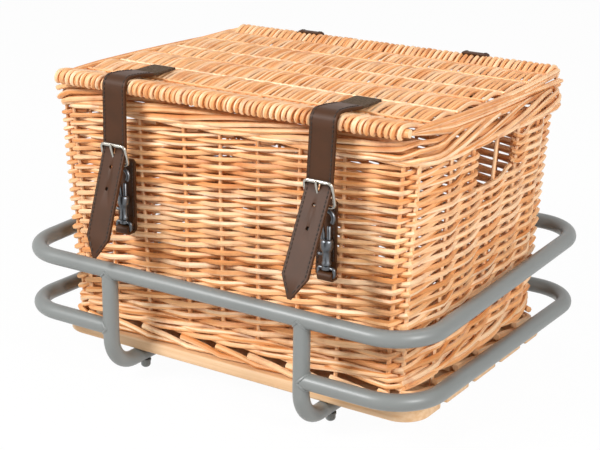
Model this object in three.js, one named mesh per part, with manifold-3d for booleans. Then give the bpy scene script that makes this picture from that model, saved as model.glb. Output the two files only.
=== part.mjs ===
// Wicker bicycle basket: a lidded willow basket standing on the slatted deck of a tubular steel carrier.
// Millimetres, +Z up, +X along the carrier, straps and buckles at the front, towards -Y.
// The origin lies on the ground, under the middle of the whole object.
import * as THREE from 'three';
import { mergeVertices } from 'three/addons/utils/BufferGeometryUtils.js';
import Module from 'manifold-3d';

const wasm = await Module();
wasm.setup();

// Fits and facets
const CLEAR = 0.3;              // gap kept between pieces that touch
const BEND_STEPS = 6;           // facets in a bend of a tube or strap
const WIRE_SIDES = 8;           // facets round a wire or a small screw
const TUBE_SIDES = 12;          // facets round a carrier tube
const RAD = Math.PI / 180;

// Carrier tubes
const TUBE = 16;                // tube diameter
const RAIL_END_GAP = 6;         // between the wall under the rim and the rails' inside, at both ends
const RAIL_SIDE_GAP = 27.5;     // the same at the front and back, with room for straps and snaps
const RAIL_CORNER = 46;         // centre line radius of the loop's corners
const UPPER_RAIL_Z = 121;       // centre of the upper rail at the front
const UPPER_RAIL_RISE = 11.5;   // how much higher it lies at the back
const LOWER_RAIL_Z = 61.3;      // centre of the lower rail at the front
const LOWER_RAIL_RISE = -2.5;
const HOOP_SPACING = 224.6;     // between the two hoops that carry rails and deck
const HOOP_BEND = 32;           // centre line radius of their bends

// Deck
const NUT_HEIGHT = 9.2;         // domed nuts under the hoops, on which the object stands
const NUT_DIAMETER = 10;
const NUT_FACE = 6;             // flat end of the dome
const SLAT_HEIGHT = 12;
const SLAT_PITCH_SHARE = 0.201; // from one gap to the next, as a share of the deck's depth
const SLAT_GAP = 13;
const SLAT_COUNT = 5;
const DECK_OVER_END = 8;        // the deck's ends, out from the wall at the foot
const DECK_OVER_SIDE = 5;       // its front and back edges
const DECK_CORNER = 28;
const SLAT_EDGE = 1.5;          // rounded edges of the slats
const DECK_BOLT_IN = 17;        // from the deck's edge to its bolts
const DECK_BOLT = 6;            // shank diameter
const DECK_BOLT_HEAD = 11;      // countersunk head diameter

// Basket
const RIM_LENGTH = 432;         // outside of the wall under the rim
const RIM_DEPTH = 290;
const END_TAPER = 12;           // how far the end walls stand in at the foot
const SIDE_TAPER = 5;           // the same for the front and back walls
const BASKET_CORNER = 26;
const WALL = 12;                // thickness of the weave
const WALL_HEIGHT = 215.7;
const FOOT_HEIGHT = 16;
const FOOT_WIDTH = 18;
const BASE_HEIGHT = 10;
const RIM_HEIGHT = 17.7;
const RIM_WIDTH = 20;
const RIM_ROUND = 6;
const FOOT_ROUND = 3;
const WALE_HEIGHT = 14.5;       // twisted rods at the foot of the wall, up to the middle of the first row
const TOP_WALE_HEIGHT = 5;
const ROW_PITCH = 4.57;         // rows of weaving
const WEAVE_RELIEF = 5;         // how far a row lies deeper where it passes inside a stake
const FRONT_STAKES = [-182, -144.5, -98, -51.5, -5, 41.5, 88, 134.5, 182];  // seen from outside, to the right
const END_STAKES = [-100, -50, 0, 50, 100];
const HAND_HOLE_WIDTH = 100;
const HAND_HOLE_HEIGHT = 44;
const HAND_HOLE_BELOW_RIM = 4;  // strip of weave left over the hand hole
const HAND_STAKE = 6;

// Lid
const LID_SHIFT = 3;            // the lid lies this much to the right on the basket
const LID_INSET = 14;           // the lid's ends, in from the outside of the wall under the rim
const LID_GAP = 4;              // between the rim and the lid's sticks
const LID_STICK = 16;           // front and back sticks with the weave turned round them
const LID_FRONT_OVER = 9;       // middle of the front stick, out from the wall under the rim
const LID_BACK_OVER = 11;       // middle of the back stick
const LID_PANEL_HEIGHT = 14;
const LID_ROD = 5.7;            // rods woven from front to back
const LID_ROD_PITCH = 6.6;
const LID_RIBS = 7;             // ribs that they pass over and under
const LID_END = 13;             // bundles of rods along both ends
const STICK_ROUND = 3;

// Leather
const LEATHER = 3;              // thickness
const STRAP_WIDTH = 25;
const STRAP_SPACING = 235;
const STRAP_ON_LID = 80;        // length that lies on the lid
const STRAP_TO_BEND = 62;       // from the fold at the lid's edge to the bend under the buckle
const STRAP_BEND = 34;          // radius of that bend
const STRAP_TAIL = { left: 105, right: 97 };  // from the bend's corner to the point
const STRAP_POINT = 22;
const STRAP_HOLE = 5;
const STRAP_HOLES = [20, 42];   // holes in the tail, from the bend's corner
const PRONG_SLOT = [-13, 8.5];  // slot for the prong, below and above the bend's corner
const TAIL_LEAN = { left: 19, right: 27 };    // degrees from upright
const HINGE_SPACING = 205;
const HINGE_WIDTH = 25;
const HINGE_ON_LID = 8;
const HINGE_FREE_LENGTH = 8;    // leather hanging free behind the lid before it turns to the rim
const HINGE_LENGTH = 40;        // how far it runs down from the top of the rim
const LEAF_BEND = 3;

// Buckles
const BUCKLE_WIRE = 3.2;
const BUCKLE_SIDE_GAP = 0.4;
const BUCKLE_CORNER = 4;
const BUCKLE_BAR_DROP = 53.7;   // from the strap's fold down to the front bar
const BUCKLE_HEIGHT = 19.5;     // front bar to heel bar, measured upright
const PRONG = 2.6;
const PRONG_KNUCKLE = 6;
const PRONG_KNUCKLE_WIDTH = 4;
const PRONG_OVER_BAR = 1.5;     // how far the tip runs past the front bar

// Bolt snaps and the tabs that hold them
const TAB_WIDTH = 27;
const TAB_TOP_BELOW_RIM = 62;   // from the top of the rim
const TAB_HEIGHT = 75;
const TAB_FACE_OUT = 2;         // its front face, out from the wall under the rim
const TAB_LOOP = 9.6;           // roll of leather round the eye
const SNAP_OFF_TAB = 7;         // from the tab's front face to the snap's axis
const EYE_WIRE = 3.4;
const EYE_WIDTH = 20;
const EYE_HEIGHT = 7.6;
const EYE_ABOVE_TAB = 4.8;      // lower bar over the tab's lower end
const SWIVEL_DIAMETER = 9;
const SWIVEL_HEIGHT = 4;
const BARREL_DIAMETER = 9;
const BARREL_HEIGHT = 15;
const BARREL_FLOOR = 3;
const COLLAR_DIAMETER = 12;
const COLLAR_HEIGHT = 10;
const HOOK_WIRE = 4.4;
const HOOK_RADIUS = 6.6;
const HOOK_STEM = 20;           // from the collar to the middle of the hook
const HOOK_END = -38;           // angle where the nose ends, from +X
const SNAP_BOLT = 4;
const SNAP_BOLT_TRAVEL = 5;
const SNAP_MOUTH = 1.4;         // gap between bolt and nose
const KNOB = 3.4;
const KNOB_REACH = 9;           // from the snap's axis to the end of the thumb knob

// Levels and places worked out from the sizes above
const hoopZ = NUT_HEIGHT + CLEAR + TUBE / 2;
const slatZ = hoopZ + TUBE / 2 + CLEAR;
const deckTop = slatZ + SLAT_HEIGHT;
const footZ = deckTop + CLEAR;
const wallZ = footZ + FOOT_HEIGHT + CLEAR;
const wallTop = wallZ + WALL_HEIGHT;
const rimZ = wallTop + CLEAR;
const rimTop = rimZ + RIM_HEIGHT;
const lidZ = rimTop + LID_GAP + LID_STICK / 2;
const footLength = RIM_LENGTH - 2 * END_TAPER;
const footDepth = RIM_DEPTH - 2 * SIDE_TAPER;
const railLength = RIM_LENGTH + 2 * RAIL_END_GAP + TUBE;
const railDepth = RIM_DEPTH + 2 * RAIL_SIDE_GAP + TUBE;
const slatLength = footLength + 2 * DECK_OVER_END;
const deckDepth = footDepth + 2 * DECK_OVER_SIDE;
const slatPitch = deckDepth * SLAT_PITCH_SHARE;
const boltY = deckDepth / 2 - DECK_BOLT_IN;
const lidLength = RIM_LENGTH - 2 * LID_INSET;
const lidFront = RIM_DEPTH / 2 + LID_FRONT_OVER;
const lidBack = RIM_DEPTH / 2 + LID_BACK_OVER;
const tabFront = RIM_DEPTH / 2 + TAB_FACE_OUT;
const snapY = tabFront + SNAP_OFF_TAB;
const hoopXs = { left: -HOOP_SPACING / 2, right: HOOP_SPACING / 2 };
const boltYs = { front: -boltY, back: boltY };
const strapXs = { left: LID_SHIFT - STRAP_SPACING / 2, right: LID_SHIFT + STRAP_SPACING / 2 };
const hingeXs = { left: LID_SHIFT - HINGE_SPACING / 2, right: LID_SHIFT + HINGE_SPACING / 2 };
const leatherRound = LID_STICK / 2 + CLEAR + LEATHER / 2;
const strapY = -lidFront - leatherRound;
const strapFold = lidZ - CLEAR - LEATHER / 2;
const strapBendZ = strapFold - STRAP_TO_BEND;

// Half length and half depth of the basket's outside at a height
function outsideAt(z) {
  const share = (z - wallZ) / WALL_HEIGHT;
  const x = THREE.MathUtils.lerp(footLength, RIM_LENGTH, share) / 2;
  const y = THREE.MathUtils.lerp(footDepth, RIM_DEPTH, share) / 2;
  return { x, y };
}

// Materials
const finish = (color, roughness, metalness) =>
  new THREE.MeshStandardMaterial({ color, roughness, metalness });
const GREY_PAINT = finish(0x9a9d9e, 0.4, 0.2);
const BEECH = finish(0xe6c9a0, 0.65, 0);
const WILLOW = finish(0xcf9459, 0.55, 0);
const BROWN_LEATHER = finish(0x5a4232, 0.6, 0);
const NICKEL = finish(0xc8c8c4, 0.25, 1);
const ZINC = finish(0x8b8d90, 0.4, 1);

// Solids: joining and cutting closed geometries
function solidOf(geometry) {
  const bare = geometry.clone();
  bare.deleteAttribute('normal');
  bare.deleteAttribute('uv');
  const merged = mergeVertices(bare, 1e-4);
  const vertProperties = new Float32Array(merged.attributes.position.array);
  const triVerts = new Uint32Array(merged.index.array);
  return new wasm.Manifold(new wasm.Mesh({ numProp: 3, vertProperties, triVerts }));
}

function geometryOf(solid) {
  const mesh = solid.getMesh();
  const geometry = new THREE.BufferGeometry();
  geometry.setAttribute('position', new THREE.BufferAttribute(mesh.vertProperties, 3));
  geometry.setIndex(new THREE.BufferAttribute(mesh.triVerts, 1));
  geometry.computeVertexNormals();
  return geometry;
}

const cut = (body, ...tools) =>
  geometryOf(tools.reduce((rest, tool) => rest.subtract(solidOf(tool)), solidOf(body)));
const join = (body, ...more) =>
  geometryOf(more.reduce((whole, piece) => whole.add(solidOf(piece)), solidOf(body)));
const common = (body, other) => geometryOf(solidOf(body).intersect(solidOf(other)));

// Paths: straight runs with round bends, whose stations are the rings of a tube
const at = (x, y, z = 0) => new THREE.Vector3(x, y, z);

class StationPath extends THREE.Curve {
  constructor(stations, closed) {
    super();
    this.stations = stations;
    this.steps = closed ? stations.length : stations.length - 1;
  }

  station(u) {
    return this.stations[Math.round(u * this.steps) % this.stations.length];
  }

  getPointAt(u, target = new THREE.Vector3()) {
    return target.copy(this.station(u).point);
  }

  getTangentAt(u, target = new THREE.Vector3()) {
    return target.copy(this.station(u).tangent);
  }
}

function bendStations(before, corner, after, radius, steps) {
  const along = corner.clone().sub(before).normalize();
  const next = after.clone().sub(corner).normalize();
  const turn = along.angleTo(next);
  const inward = next.clone().addScaledVector(along, -along.dot(next)).normalize();
  const start = corner.clone().addScaledVector(along, -radius * Math.tan(turn / 2));
  const stations = [];
  for (let step = 0; step <= steps; step += 1) {
    const angle = (turn * step) / steps;
    const point = start.clone().addScaledVector(along, radius * Math.sin(angle));
    point.addScaledVector(inward, radius * (1 - Math.cos(angle)));
    const tangent = along.clone().multiplyScalar(Math.cos(angle)).addScaledVector(inward, Math.sin(angle));
    stations.push({ point, tangent });
  }
  return stations;
}

function bentPath(corners, radius, { closed = false, steps = BEND_STEPS } = {}) {
  const stations = [];
  const count = corners.length;
  corners.forEach((corner, index) => {
    if (closed || (index > 0 && index < count - 1)) {
      const before = corners[(index + count - 1) % count];
      const after = corners[(index + 1) % count];
      stations.push(...bendStations(before, corner, after, radius, steps));
    } else {
      const tangent = index === 0 ? corners[1].clone().sub(corner) : corner.clone().sub(corners[index - 1]);
      stations.push({ point: corner.clone(), tangent: tangent.normalize() });
    }
  });
  return new StationPath(stations, closed);
}

function circle(radius, sides) {
  const points = [];
  for (let side = 0; side < sides; side += 1) {
    const angle = (2 * Math.PI * side) / sides;
    points.push(new THREE.Vector2(radius * Math.cos(angle), radius * Math.sin(angle)));
  }
  return new THREE.Shape(points);
}

const openTube = (path, diameter, sides) =>
  new THREE.ExtrudeGeometry(circle(diameter / 2, sides), { steps: path.steps, extrudePath: path });

// A closed loop has no ends, so its rings simply meet
const closedTube = (path, diameter, sides) =>
  new THREE.TubeGeometry(path, path.steps, diameter / 2, sides, true);

// Flat shapes, pushed out along one axis about its middle
function extruded(shape, depth, bevel = 0, bevelSegments = 2) {
  const geometry = new THREE.ExtrudeGeometry(shape, {
    depth: depth - 2 * bevel,
    bevelEnabled: bevel > 0,
    bevelSize: bevel,
    bevelThickness: bevel,
    bevelOffset: -bevel,
    bevelSegments,
    curveSegments: BEND_STEPS,
  });
  return geometry.translate(0, 0, bevel - depth / 2);
}

const ALONG_X = new THREE.Matrix4().makeBasis(at(0, 1, 0), at(0, 0, 1), at(1, 0, 0));
const ALONG_Y = new THREE.Matrix4().makeBasis(at(1, 0, 0), at(0, 0, 1), at(0, -1, 0));
const alongX = (shape, depth, x) => extruded(shape, depth).applyMatrix4(ALONG_X).translate(x, 0, 0);
const alongY = (shape, depth, y) => extruded(shape, depth).applyMatrix4(ALONG_Y).translate(0, y, 0);
const alongZ = (shape, height, z, ...edge) =>
  extruded(shape, height, ...edge).translate(0, 0, z + height / 2);

function rectangle(x0, y0, x1, y1, lowRadius = 0, highRadius = lowRadius) {
  const shape = new THREE.Shape();
  shape.moveTo(x0 + lowRadius, y0);
  shape.lineTo(x1 - lowRadius, y0);
  if (lowRadius > 0) shape.absarc(x1 - lowRadius, y0 + lowRadius, lowRadius, -Math.PI / 2, 0);
  shape.lineTo(x1, y1 - highRadius);
  if (highRadius > 0) shape.absarc(x1 - highRadius, y1 - highRadius, highRadius, 0, Math.PI / 2);
  shape.lineTo(x0 + highRadius, y1);
  if (highRadius > 0) shape.absarc(x0 + highRadius, y1 - highRadius, highRadius, Math.PI / 2, Math.PI);
  shape.lineTo(x0, y0 + lowRadius);
  if (lowRadius > 0) shape.absarc(x0 + lowRadius, y0 + lowRadius, lowRadius, Math.PI, 1.5 * Math.PI);
  return shape;
}

const centred = (halfX, halfY, radius) => rectangle(-halfX, -halfY, halfX, halfY, radius);

// Side view of a strap: its middle line in Y and Z, with a round end where it folds
function ribbon(path, roundStart) {
  const half = LEATHER / 2;
  const near = [];
  const far = [];
  path.stations.forEach(({ point, tangent }) => {
    near.push(new THREE.Vector2(point.x - half * tangent.y, point.y + half * tangent.x));
    far.unshift(new THREE.Vector2(point.x + half * tangent.y, point.y - half * tangent.x));
  });
  const end = [];
  if (roundStart) {
    const { point, tangent } = path.stations[0];
    const heading = Math.atan2(tangent.y, tangent.x);
    for (let step = 1; step < BEND_STEPS; step += 1) {
      const angle = heading - Math.PI / 2 - (Math.PI * step) / BEND_STEPS;
      end.push(new THREE.Vector2(point.x + half * Math.cos(angle), point.y + half * Math.sin(angle)));
    }
  }
  return new THREE.Shape([...near, ...far, ...end]);
}

// A block between a lower and an upper outline with the same number of corners
function loft(lower, upper) {
  const count = lower.length;
  const faces = [];
  for (let index = 0; index < count; index += 1) {
    const next = (index + 1) % count;
    faces.push(index, next, count + next, index, count + next, count + index);
  }
  const flat = lower.map((point) => new THREE.Vector2(point.x, point.y));
  THREE.ShapeUtils.triangulateShape(flat, []).forEach(([a, b, c]) => {
    faces.push(c, b, a, count + a, count + b, count + c);
  });
  const geometry = new THREE.BufferGeometry().setFromPoints([...lower, ...upper]);
  geometry.setIndex(faces);
  geometry.computeVertexNormals();
  return geometry;
}

// A closed sheet between two grids of points, whose front has its columns to the right and its rows upwards.
// Each square is folded inwards, so that high points stand alone, like the bulges of a weave.
function sheet(front, back) {
  const rows = front.length;
  const columns = front[0].length;
  const size = rows * columns;
  const points = front.flat();
  const plane = new THREE.Plane();
  const faces = [];
  for (let row = 0; row < rows - 1; row += 1) {
    for (let column = 0; column < columns - 1; column += 1) {
      const a = row * columns + column;
      const b = a + 1;
      const c = b + columns;
      const d = a + columns;
      plane.setFromCoplanarPoints(points[a], points[b], points[c]);
      const foldsIn = plane.distanceToPoint(points[d]) > 0;
      const [i, j, k, l] = foldsIn ? [a, b, c, d] : [b, c, d, a];
      faces.push(i, j, k, i, k, l);
      faces.push(size + i, size + k, size + j, size + i, size + l, size + k);
    }
  }
  const edge = [];
  for (let column = 0; column < columns - 1; column += 1) edge.push(column);
  for (let row = 0; row < rows - 1; row += 1) edge.push((row + 1) * columns - 1);
  for (let column = columns - 1; column > 0; column -= 1) edge.push((rows - 1) * columns + column);
  for (let row = rows - 1; row > 0; row -= 1) edge.push(row * columns);
  edge.forEach((p, index) => {
    const q = edge[(index + 1) % edge.length];
    faces.push(q, p, size + p, q, size + p, size + q);
  });
  const geometry = new THREE.BufferGeometry().setFromPoints([...points, ...back.flat()]);
  geometry.setIndex(faces);
  geometry.computeVertexNormals();
  return geometry;
}

function turned(profile, sides) {
  const points = profile.map(([radius, z]) => new THREE.Vector2(radius, z));
  return new THREE.LatheGeometry(points, sides).rotateX(Math.PI / 2);
}

const pin = (diameter, z0, z1, x, y, sides = WIRE_SIDES) =>
  turned([[0, z0], [diameter / 2, z0], [diameter / 2, z1], [0, z1]], sides).translate(x, y, 0);

const block = (x0, x1, y0, y1, z0, z1) =>
  new THREE.BoxGeometry(x1 - x0, y1 - y0, z1 - z0).translate((x0 + x1) / 2, (y0 + y1) / 2, (z0 + z1) / 2);

const basket = new THREE.Group();

function addPiece(name, geometry, material) {
  const mesh = new THREE.Mesh(geometry, material);
  mesh.name = name;
  basket.add(mesh);
}

// Carrier: two rails and two hoops
function railCorners(z, rise) {
  const x = railLength / 2;
  const y = railDepth / 2;
  return [at(x, -y, z), at(x, y, z + rise), at(-x, y, z + rise), at(-x, -y, z)];
}

const upperRailPath = bentPath(railCorners(UPPER_RAIL_Z, UPPER_RAIL_RISE), RAIL_CORNER, { closed: true });

// The lower rail is open between the hoops, so it is one bow round each end
function lowerRailPath(x) {
  const y = railDepth / 2;
  const end = (Math.sign(x) * railLength) / 2;
  const back = LOWER_RAIL_Z + LOWER_RAIL_RISE;
  return bentPath([
    at(x, -y, LOWER_RAIL_Z), at(end, -y, LOWER_RAIL_Z), at(end, y, back), at(x, y, back),
  ], RAIL_CORNER);
}

function hoopPath(x) {
  const y = railDepth / 2;
  return bentPath([
    at(x, -y, UPPER_RAIL_Z), at(x, -y, hoopZ), at(x, y, hoopZ), at(x, y, UPPER_RAIL_Z + UPPER_RAIL_RISE),
  ], HOOP_BEND);
}

function makeCarrier() {
  addPiece('upper_rail', closedTube(upperRailPath, TUBE, TUBE_SIDES), GREY_PAINT);
  const round = TUBE + 2 * CLEAR;
  const roundUpperRail = closedTube(upperRailPath, round, TUBE_SIDES);
  for (const [side, x] of Object.entries(hoopXs)) {
    const roundHoop = openTube(hoopPath(x), round, TUBE_SIDES);
    const lowerRail = openTube(lowerRailPath(x), TUBE, TUBE_SIDES);
    addPiece(`lower_rail_${side}`, cut(lowerRail, roundHoop), GREY_PAINT);
    const holes = Object.values(boltYs).map((y) => pin(DECK_BOLT + 2 * CLEAR, 0, slatZ, x, y));
    const hoop = openTube(hoopPath(x), TUBE, TUBE_SIDES);
    addPiece(`hoop_${side}`, cut(hoop, roundUpperRail, ...holes), GREY_PAINT);
  }
}

// Deck: slats across the two hoops, the outer ones bolted to them
const slatMiddle = (index) => slatPitch * (index - (SLAT_COUNT - 1) / 2);
const countersink = (DECK_BOLT_HEAD - DECK_BOLT) / 2;

function deckBolt(x, y, margin) {
  const head = DECK_BOLT_HEAD / 2 + margin;
  const shank = DECK_BOLT / 2 + margin;
  const top = deckTop - CLEAR + margin;
  const end = hoopZ - TUBE / 2 - CLEAR - NUT_HEIGHT / 2;
  return turned([[0, end], [shank, end], [shank, top - countersink], [head, top], [0, top]], WIRE_SIDES)
    .translate(x, y, 0);
}

function makeDeck() {
  const bolts = [];
  for (const x of Object.values(hoopXs)) {
    for (const y of Object.values(boltYs)) bolts.push(deckBolt(x, y, CLEAR));
  }
  for (let index = 0; index < SLAT_COUNT; index += 1) {
    const half = (slatPitch - SLAT_GAP) / 2;
    const front = index === 0 ? -deckDepth / 2 : slatMiddle(index) - half;
    const back = index === SLAT_COUNT - 1 ? deckDepth / 2 : slatMiddle(index) + half;
    const frontRadius = index === 0 ? DECK_CORNER : 0;
    const backRadius = index === SLAT_COUNT - 1 ? DECK_CORNER : 0;
    const outline = rectangle(-slatLength / 2, front, slatLength / 2, back, frontRadius, backRadius);
    const slat = alongZ(outline, SLAT_HEIGHT, slatZ, SLAT_EDGE, 1);
    addPiece(`slat_${index + 1}`, cut(slat, ...bolts), BEECH);
  }
  for (const [side, x] of Object.entries(hoopXs)) {
    for (const [end, y] of Object.entries(boltYs)) {
      addPiece(`deck_bolt_${end}_${side}`, deckBolt(x, y, 0), ZINC);
      const dome = turned([
        [0, 0], [NUT_FACE / 2, 0], [NUT_DIAMETER / 2, (NUT_DIAMETER - NUT_FACE) / 2],
        [NUT_DIAMETER / 2, NUT_HEIGHT], [0, NUT_HEIGHT],
      ], TUBE_SIDES).translate(x, y, 0);
      addPiece(`deck_nut_${end}_${side}`, cut(dome, deckBolt(x, y, CLEAR)), GREY_PAINT);
    }
  }
}

// Basket: foot border, base, four walls between corner posts, rim border
function cornerOutline(z, signX, signY) {
  const { x, y } = outsideAt(z);
  const centre = at(signX * (x - BASKET_CORNER), signY * (y - BASKET_CORNER), z);
  const arc = (radius) => {
    const points = [];
    for (let step = 0; step <= BEND_STEPS; step += 1) {
      const angle = (Math.PI / 2) * (step / BEND_STEPS);
      points.push(centre.clone().add(at(signX * radius * Math.cos(angle), signY * radius * Math.sin(angle))));
    }
    return points;
  };
  const outline = [...arc(BASKET_CORNER), ...arc(BASKET_CORNER - WALL).reverse()];
  return signX * signY > 0 ? outline : outline.reverse();
}

// The place on a wall as seen from outside: along it to the right, out from the basket's middle, up
const onWall = (along, out, z, signX, signY) => (signX ? at(signX * out, signX * along, z)
  : at(-signY * along, signY * out, z));

function wallOutline(z, signX, signY) {
  const { x, y } = outsideAt(z);
  const end = (signX ? y : x) - BASKET_CORNER - CLEAR;
  const outer = signX ? x : y;
  const points = [[end, outer - WALL], [-end, outer - WALL], [-end, outer + WALL], [end, outer + WALL]];
  return points.map(([along, out]) => onWall(along, out, z, signX, signY));
}

// The outside of the weave: each row passes outside every second stake, and the next row outside the others
function weaveBlock(signX, signY) {
  const stakes = signX ? END_STAKES : FRONT_STAKES;
  const side = (signX ? outsideAt(wallTop).y : outsideAt(wallTop).x) + WALL;
  const columns = [-side, ...stakes, side];
  const firstRow = wallZ + WALE_HEIGHT;
  const rowCount = Math.floor((WALL_HEIGHT - WALE_HEIGHT - TOP_WALE_HEIGHT) / ROW_PITCH) + 1;
  const levels = [{ z: wallZ - WALL }, { z: firstRow - ROW_PITCH }];
  for (let row = 0; row < rowCount; row += 1) levels.push({ z: firstRow + row * ROW_PITCH, row });
  levels.push({ z: firstRow + rowCount * ROW_PITCH }, { z: wallTop + WALL });
  const face = (depthOf) => levels.map(({ z, row }) => columns.map((along, column) => {
    const outer = signX ? outsideAt(z).x : outsideAt(z).y;
    return onWall(along, outer - depthOf(row, column), z, signX, signY);
  }));
  const passesInside = (row, column) => row !== undefined && (row + column) % 2 === 0;
  return sheet(face((row, column) => (passesInside(row, column) ? WEAVE_RELIEF : 0)), face(() => 2 * WALL));
}

const wallBlock = (signX, signY) => common(
  loft(wallOutline(wallZ, signX, signY), wallOutline(wallTop, signX, signY)),
  weaveBlock(signX, signY),
);
const cornerBlock = (signX, signY) =>
  loft(cornerOutline(wallZ, signX, signY), cornerOutline(wallTop, signX, signY));

// A border ring that follows the wall, wider than it by its own width
function borderRing(z, height, width, level, bevel) {
  const { x, y } = outsideAt(level);
  const over = (width - WALL) / 2;
  const ring = centred(x + over, y + over, BASKET_CORNER + over);
  ring.holes.push(centred(x - WALL - over, y - WALL - over, BASKET_CORNER - WALL - over));
  return alongZ(ring, height, z, bevel);
}

function makeBasket() {
  addPiece('foot_border', borderRing(footZ, FOOT_HEIGHT, FOOT_WIDTH, wallZ, FOOT_ROUND), WILLOW);
  const inside = outsideAt(wallZ);
  const rim = WALL + CLEAR;
  const base = alongZ(centred(inside.x - rim, inside.y - rim, BASKET_CORNER - rim), BASE_HEIGHT, wallZ);
  addPiece('basket_base', base, WILLOW);
  addPiece('wall_front', wallBlock(0, -1), WILLOW);
  addPiece('wall_back', wallBlock(0, 1), WILLOW);
  const holeTop = wallTop - HAND_HOLE_BELOW_RIM;
  const holeBottom = holeTop - HAND_HOLE_HEIGHT;
  const holeHalf = HAND_HOLE_WIDTH / 2;
  for (const [side, sign] of [['left', -1], ['right', 1]]) {
    const { x } = outsideAt((holeTop + holeBottom) / 2);
    const reach = sign * (x - WALL / 2);
    const hole = block(reach - WALL, reach + WALL, -holeHalf, holeHalf, holeBottom, holeTop);
    addPiece(`wall_${side}`, cut(wallBlock(sign, 0), hole), WILLOW);
    const stake = pin(HAND_STAKE, holeBottom + CLEAR, holeTop - CLEAR, reach, 0);
    addPiece(`hand_stake_${side}`, stake, WILLOW);
    addPiece(`corner_front_${side}`, cornerBlock(sign, -1), WILLOW);
    addPiece(`corner_back_${side}`, cornerBlock(sign, 1), WILLOW);
  }
  addPiece('rim_border', borderRing(rimZ, RIM_HEIGHT, RIM_WIDTH, wallTop, RIM_ROUND), WILLOW);
}

// Lid: woven panel between a front and a back stick, with a bundle of rods along each end
function lidStick(y) {
  const half = LID_STICK / 2;
  const shape = circle(half, TUBE_SIDES);
  return alongX(shape, lidLength - 2 * STICK_ROUND, LID_SHIFT).translate(0, y, lidZ);
}

// Rods from front to back, side by side, each over every second rib, and its neighbours over the others
function lidWeave(inner, front, back) {
  const count = Math.floor((2 * inner) / LID_ROD_PITCH);
  const pitch = (2 * inner) / count;
  const columns = [{ x: -inner, rod: 0 }];
  for (let rod = 0; rod < count; rod += 1) columns.push({ x: (rod + 0.5) * pitch - inner, rod });
  columns.push({ x: inner, rod: count - 1 });
  const rows = [{ y: front }];
  for (let rib = 1; rib <= LID_RIBS; rib += 1) {
    rows.push({ y: THREE.MathUtils.lerp(-lidFront, lidBack, rib / (LID_RIBS + 1)), rib });
  }
  rows.push({ y: back });
  const swing = (LID_PANEL_HEIGHT - LID_ROD) / 2;
  const passesUnder = (rod, rib) => rib !== undefined && (rod + rib) % 2 === 1;
  const face = (lift) => rows.map(({ y, rib }) => columns.map(({ x, rod }) =>
    at(LID_SHIFT + x, y, lidZ + lift + (passesUnder(rod, rib) ? -swing : swing))));
  return sheet(face(LID_ROD / 2), face(-LID_ROD / 2));
}

function makeLid() {
  const stickClear = LID_STICK / 2 + CLEAR;
  addPiece('lid_front_stick', lidStick(-lidFront), WILLOW);
  addPiece('lid_back_stick', lidStick(lidBack), WILLOW);
  const front = -lidFront + stickClear;
  const back = lidBack - stickClear;
  const end = lidLength / 2;
  const inner = end - LID_END - CLEAR;
  const low = lidZ - LID_PANEL_HEIGHT / 2;
  addPiece('lid_panel', lidWeave(inner, front, back), WILLOW);
  for (const [side, sign] of [['left', -1], ['right', 1]]) {
    const x0 = LID_SHIFT + sign * end;
    const x1 = LID_SHIFT + sign * (inner + CLEAR);
    const bundle = rectangle(Math.min(x0, x1), front, Math.max(x0, x1), back);
    addPiece(`lid_end_${side}`, alongZ(bundle, LID_PANEL_HEIGHT, low, STICK_ROUND), WILLOW);
  }
}

// Leather hinges at the back: one leaf round the lid's stick, one down the back of the basket
function makeHinges() {
  const y = lidBack + leatherRound;
  const top = lidZ + leatherRound;
  const half = LEATHER / 2;
  const lidEnd = y - HINGE_ON_LID - leatherRound;
  const lidLeaf = bentPath([at(y, lidZ + half), at(y, top), at(lidEnd, top)], leatherRound - half);
  const onLeather = CLEAR + LEATHER / 2;
  const rimY = outsideAt(wallTop).y + (RIM_WIDTH - WALL) / 2 + onLeather;
  const rimMiddle = rimZ + RIM_HEIGHT / 2;
  const underRim = rimZ - LEATHER * 3;
  const end = rimTop - HINGE_LENGTH;
  const fold = lidZ - CLEAR - LEATHER / 2;
  const basketLeaf = bentPath([
    at(y, fold), at(y, fold - HINGE_FREE_LENGTH), at(rimY, rimMiddle - HINGE_FREE_LENGTH / 2), at(rimY, rimZ),
    at(outsideAt(underRim).y + onLeather, underRim), at(outsideAt(end).y + onLeather, end),
  ], LEAF_BEND, { steps: 2 });
  for (const [side, x] of Object.entries(hingeXs)) {
    addPiece(`hinge_${side}_lid_leaf`, alongX(ribbon(lidLeaf, true), HINGE_WIDTH, x), BROWN_LEATHER);
    addPiece(`hinge_${side}_basket_leaf`, alongX(ribbon(basketLeaf, true), HINGE_WIDTH, x), BROWN_LEATHER);
  }
}

// Straps: a length on the lid, folded over its edge, and a hanging length with a pointed tail
function strapPath(side) {
  const lean = TAIL_LEAN[side] * RAD;
  const corner = at(strapY, strapBendZ);
  const tip = corner.clone().addScaledVector(at(-Math.sin(lean), -Math.cos(lean)), STRAP_TAIL[side]);
  return bentPath([at(strapY, strapFold), corner, tip], STRAP_BEND);
}

function strapOutline(side) {
  const cosLean = Math.cos(TAIL_LEAN[side] * RAD);
  const half = STRAP_WIDTH / 2;
  const tip = strapBendZ - STRAP_TAIL[side] * cosLean;
  const shoulder = tip + STRAP_POINT * cosLean;
  const top = strapFold + LEATHER;
  const outline = new THREE.Shape([
    new THREE.Vector2(-half, top), new THREE.Vector2(-half, shoulder), new THREE.Vector2(0, tip),
    new THREE.Vector2(half, shoulder), new THREE.Vector2(half, top),
  ]);
  for (const distance of STRAP_HOLES) {
    const hole = new THREE.Path();
    hole.absarc(0, strapBendZ - distance * cosLean, STRAP_HOLE / 2, 0, 2 * Math.PI, true);
    outline.holes.push(hole);
  }
  const [below, above] = PRONG_SLOT;
  const slot = STRAP_HOLE / 2;
  outline.holes.push(rectangle(-slot, strapBendZ + below, slot, strapBendZ + above));
  return outline;
}

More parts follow.
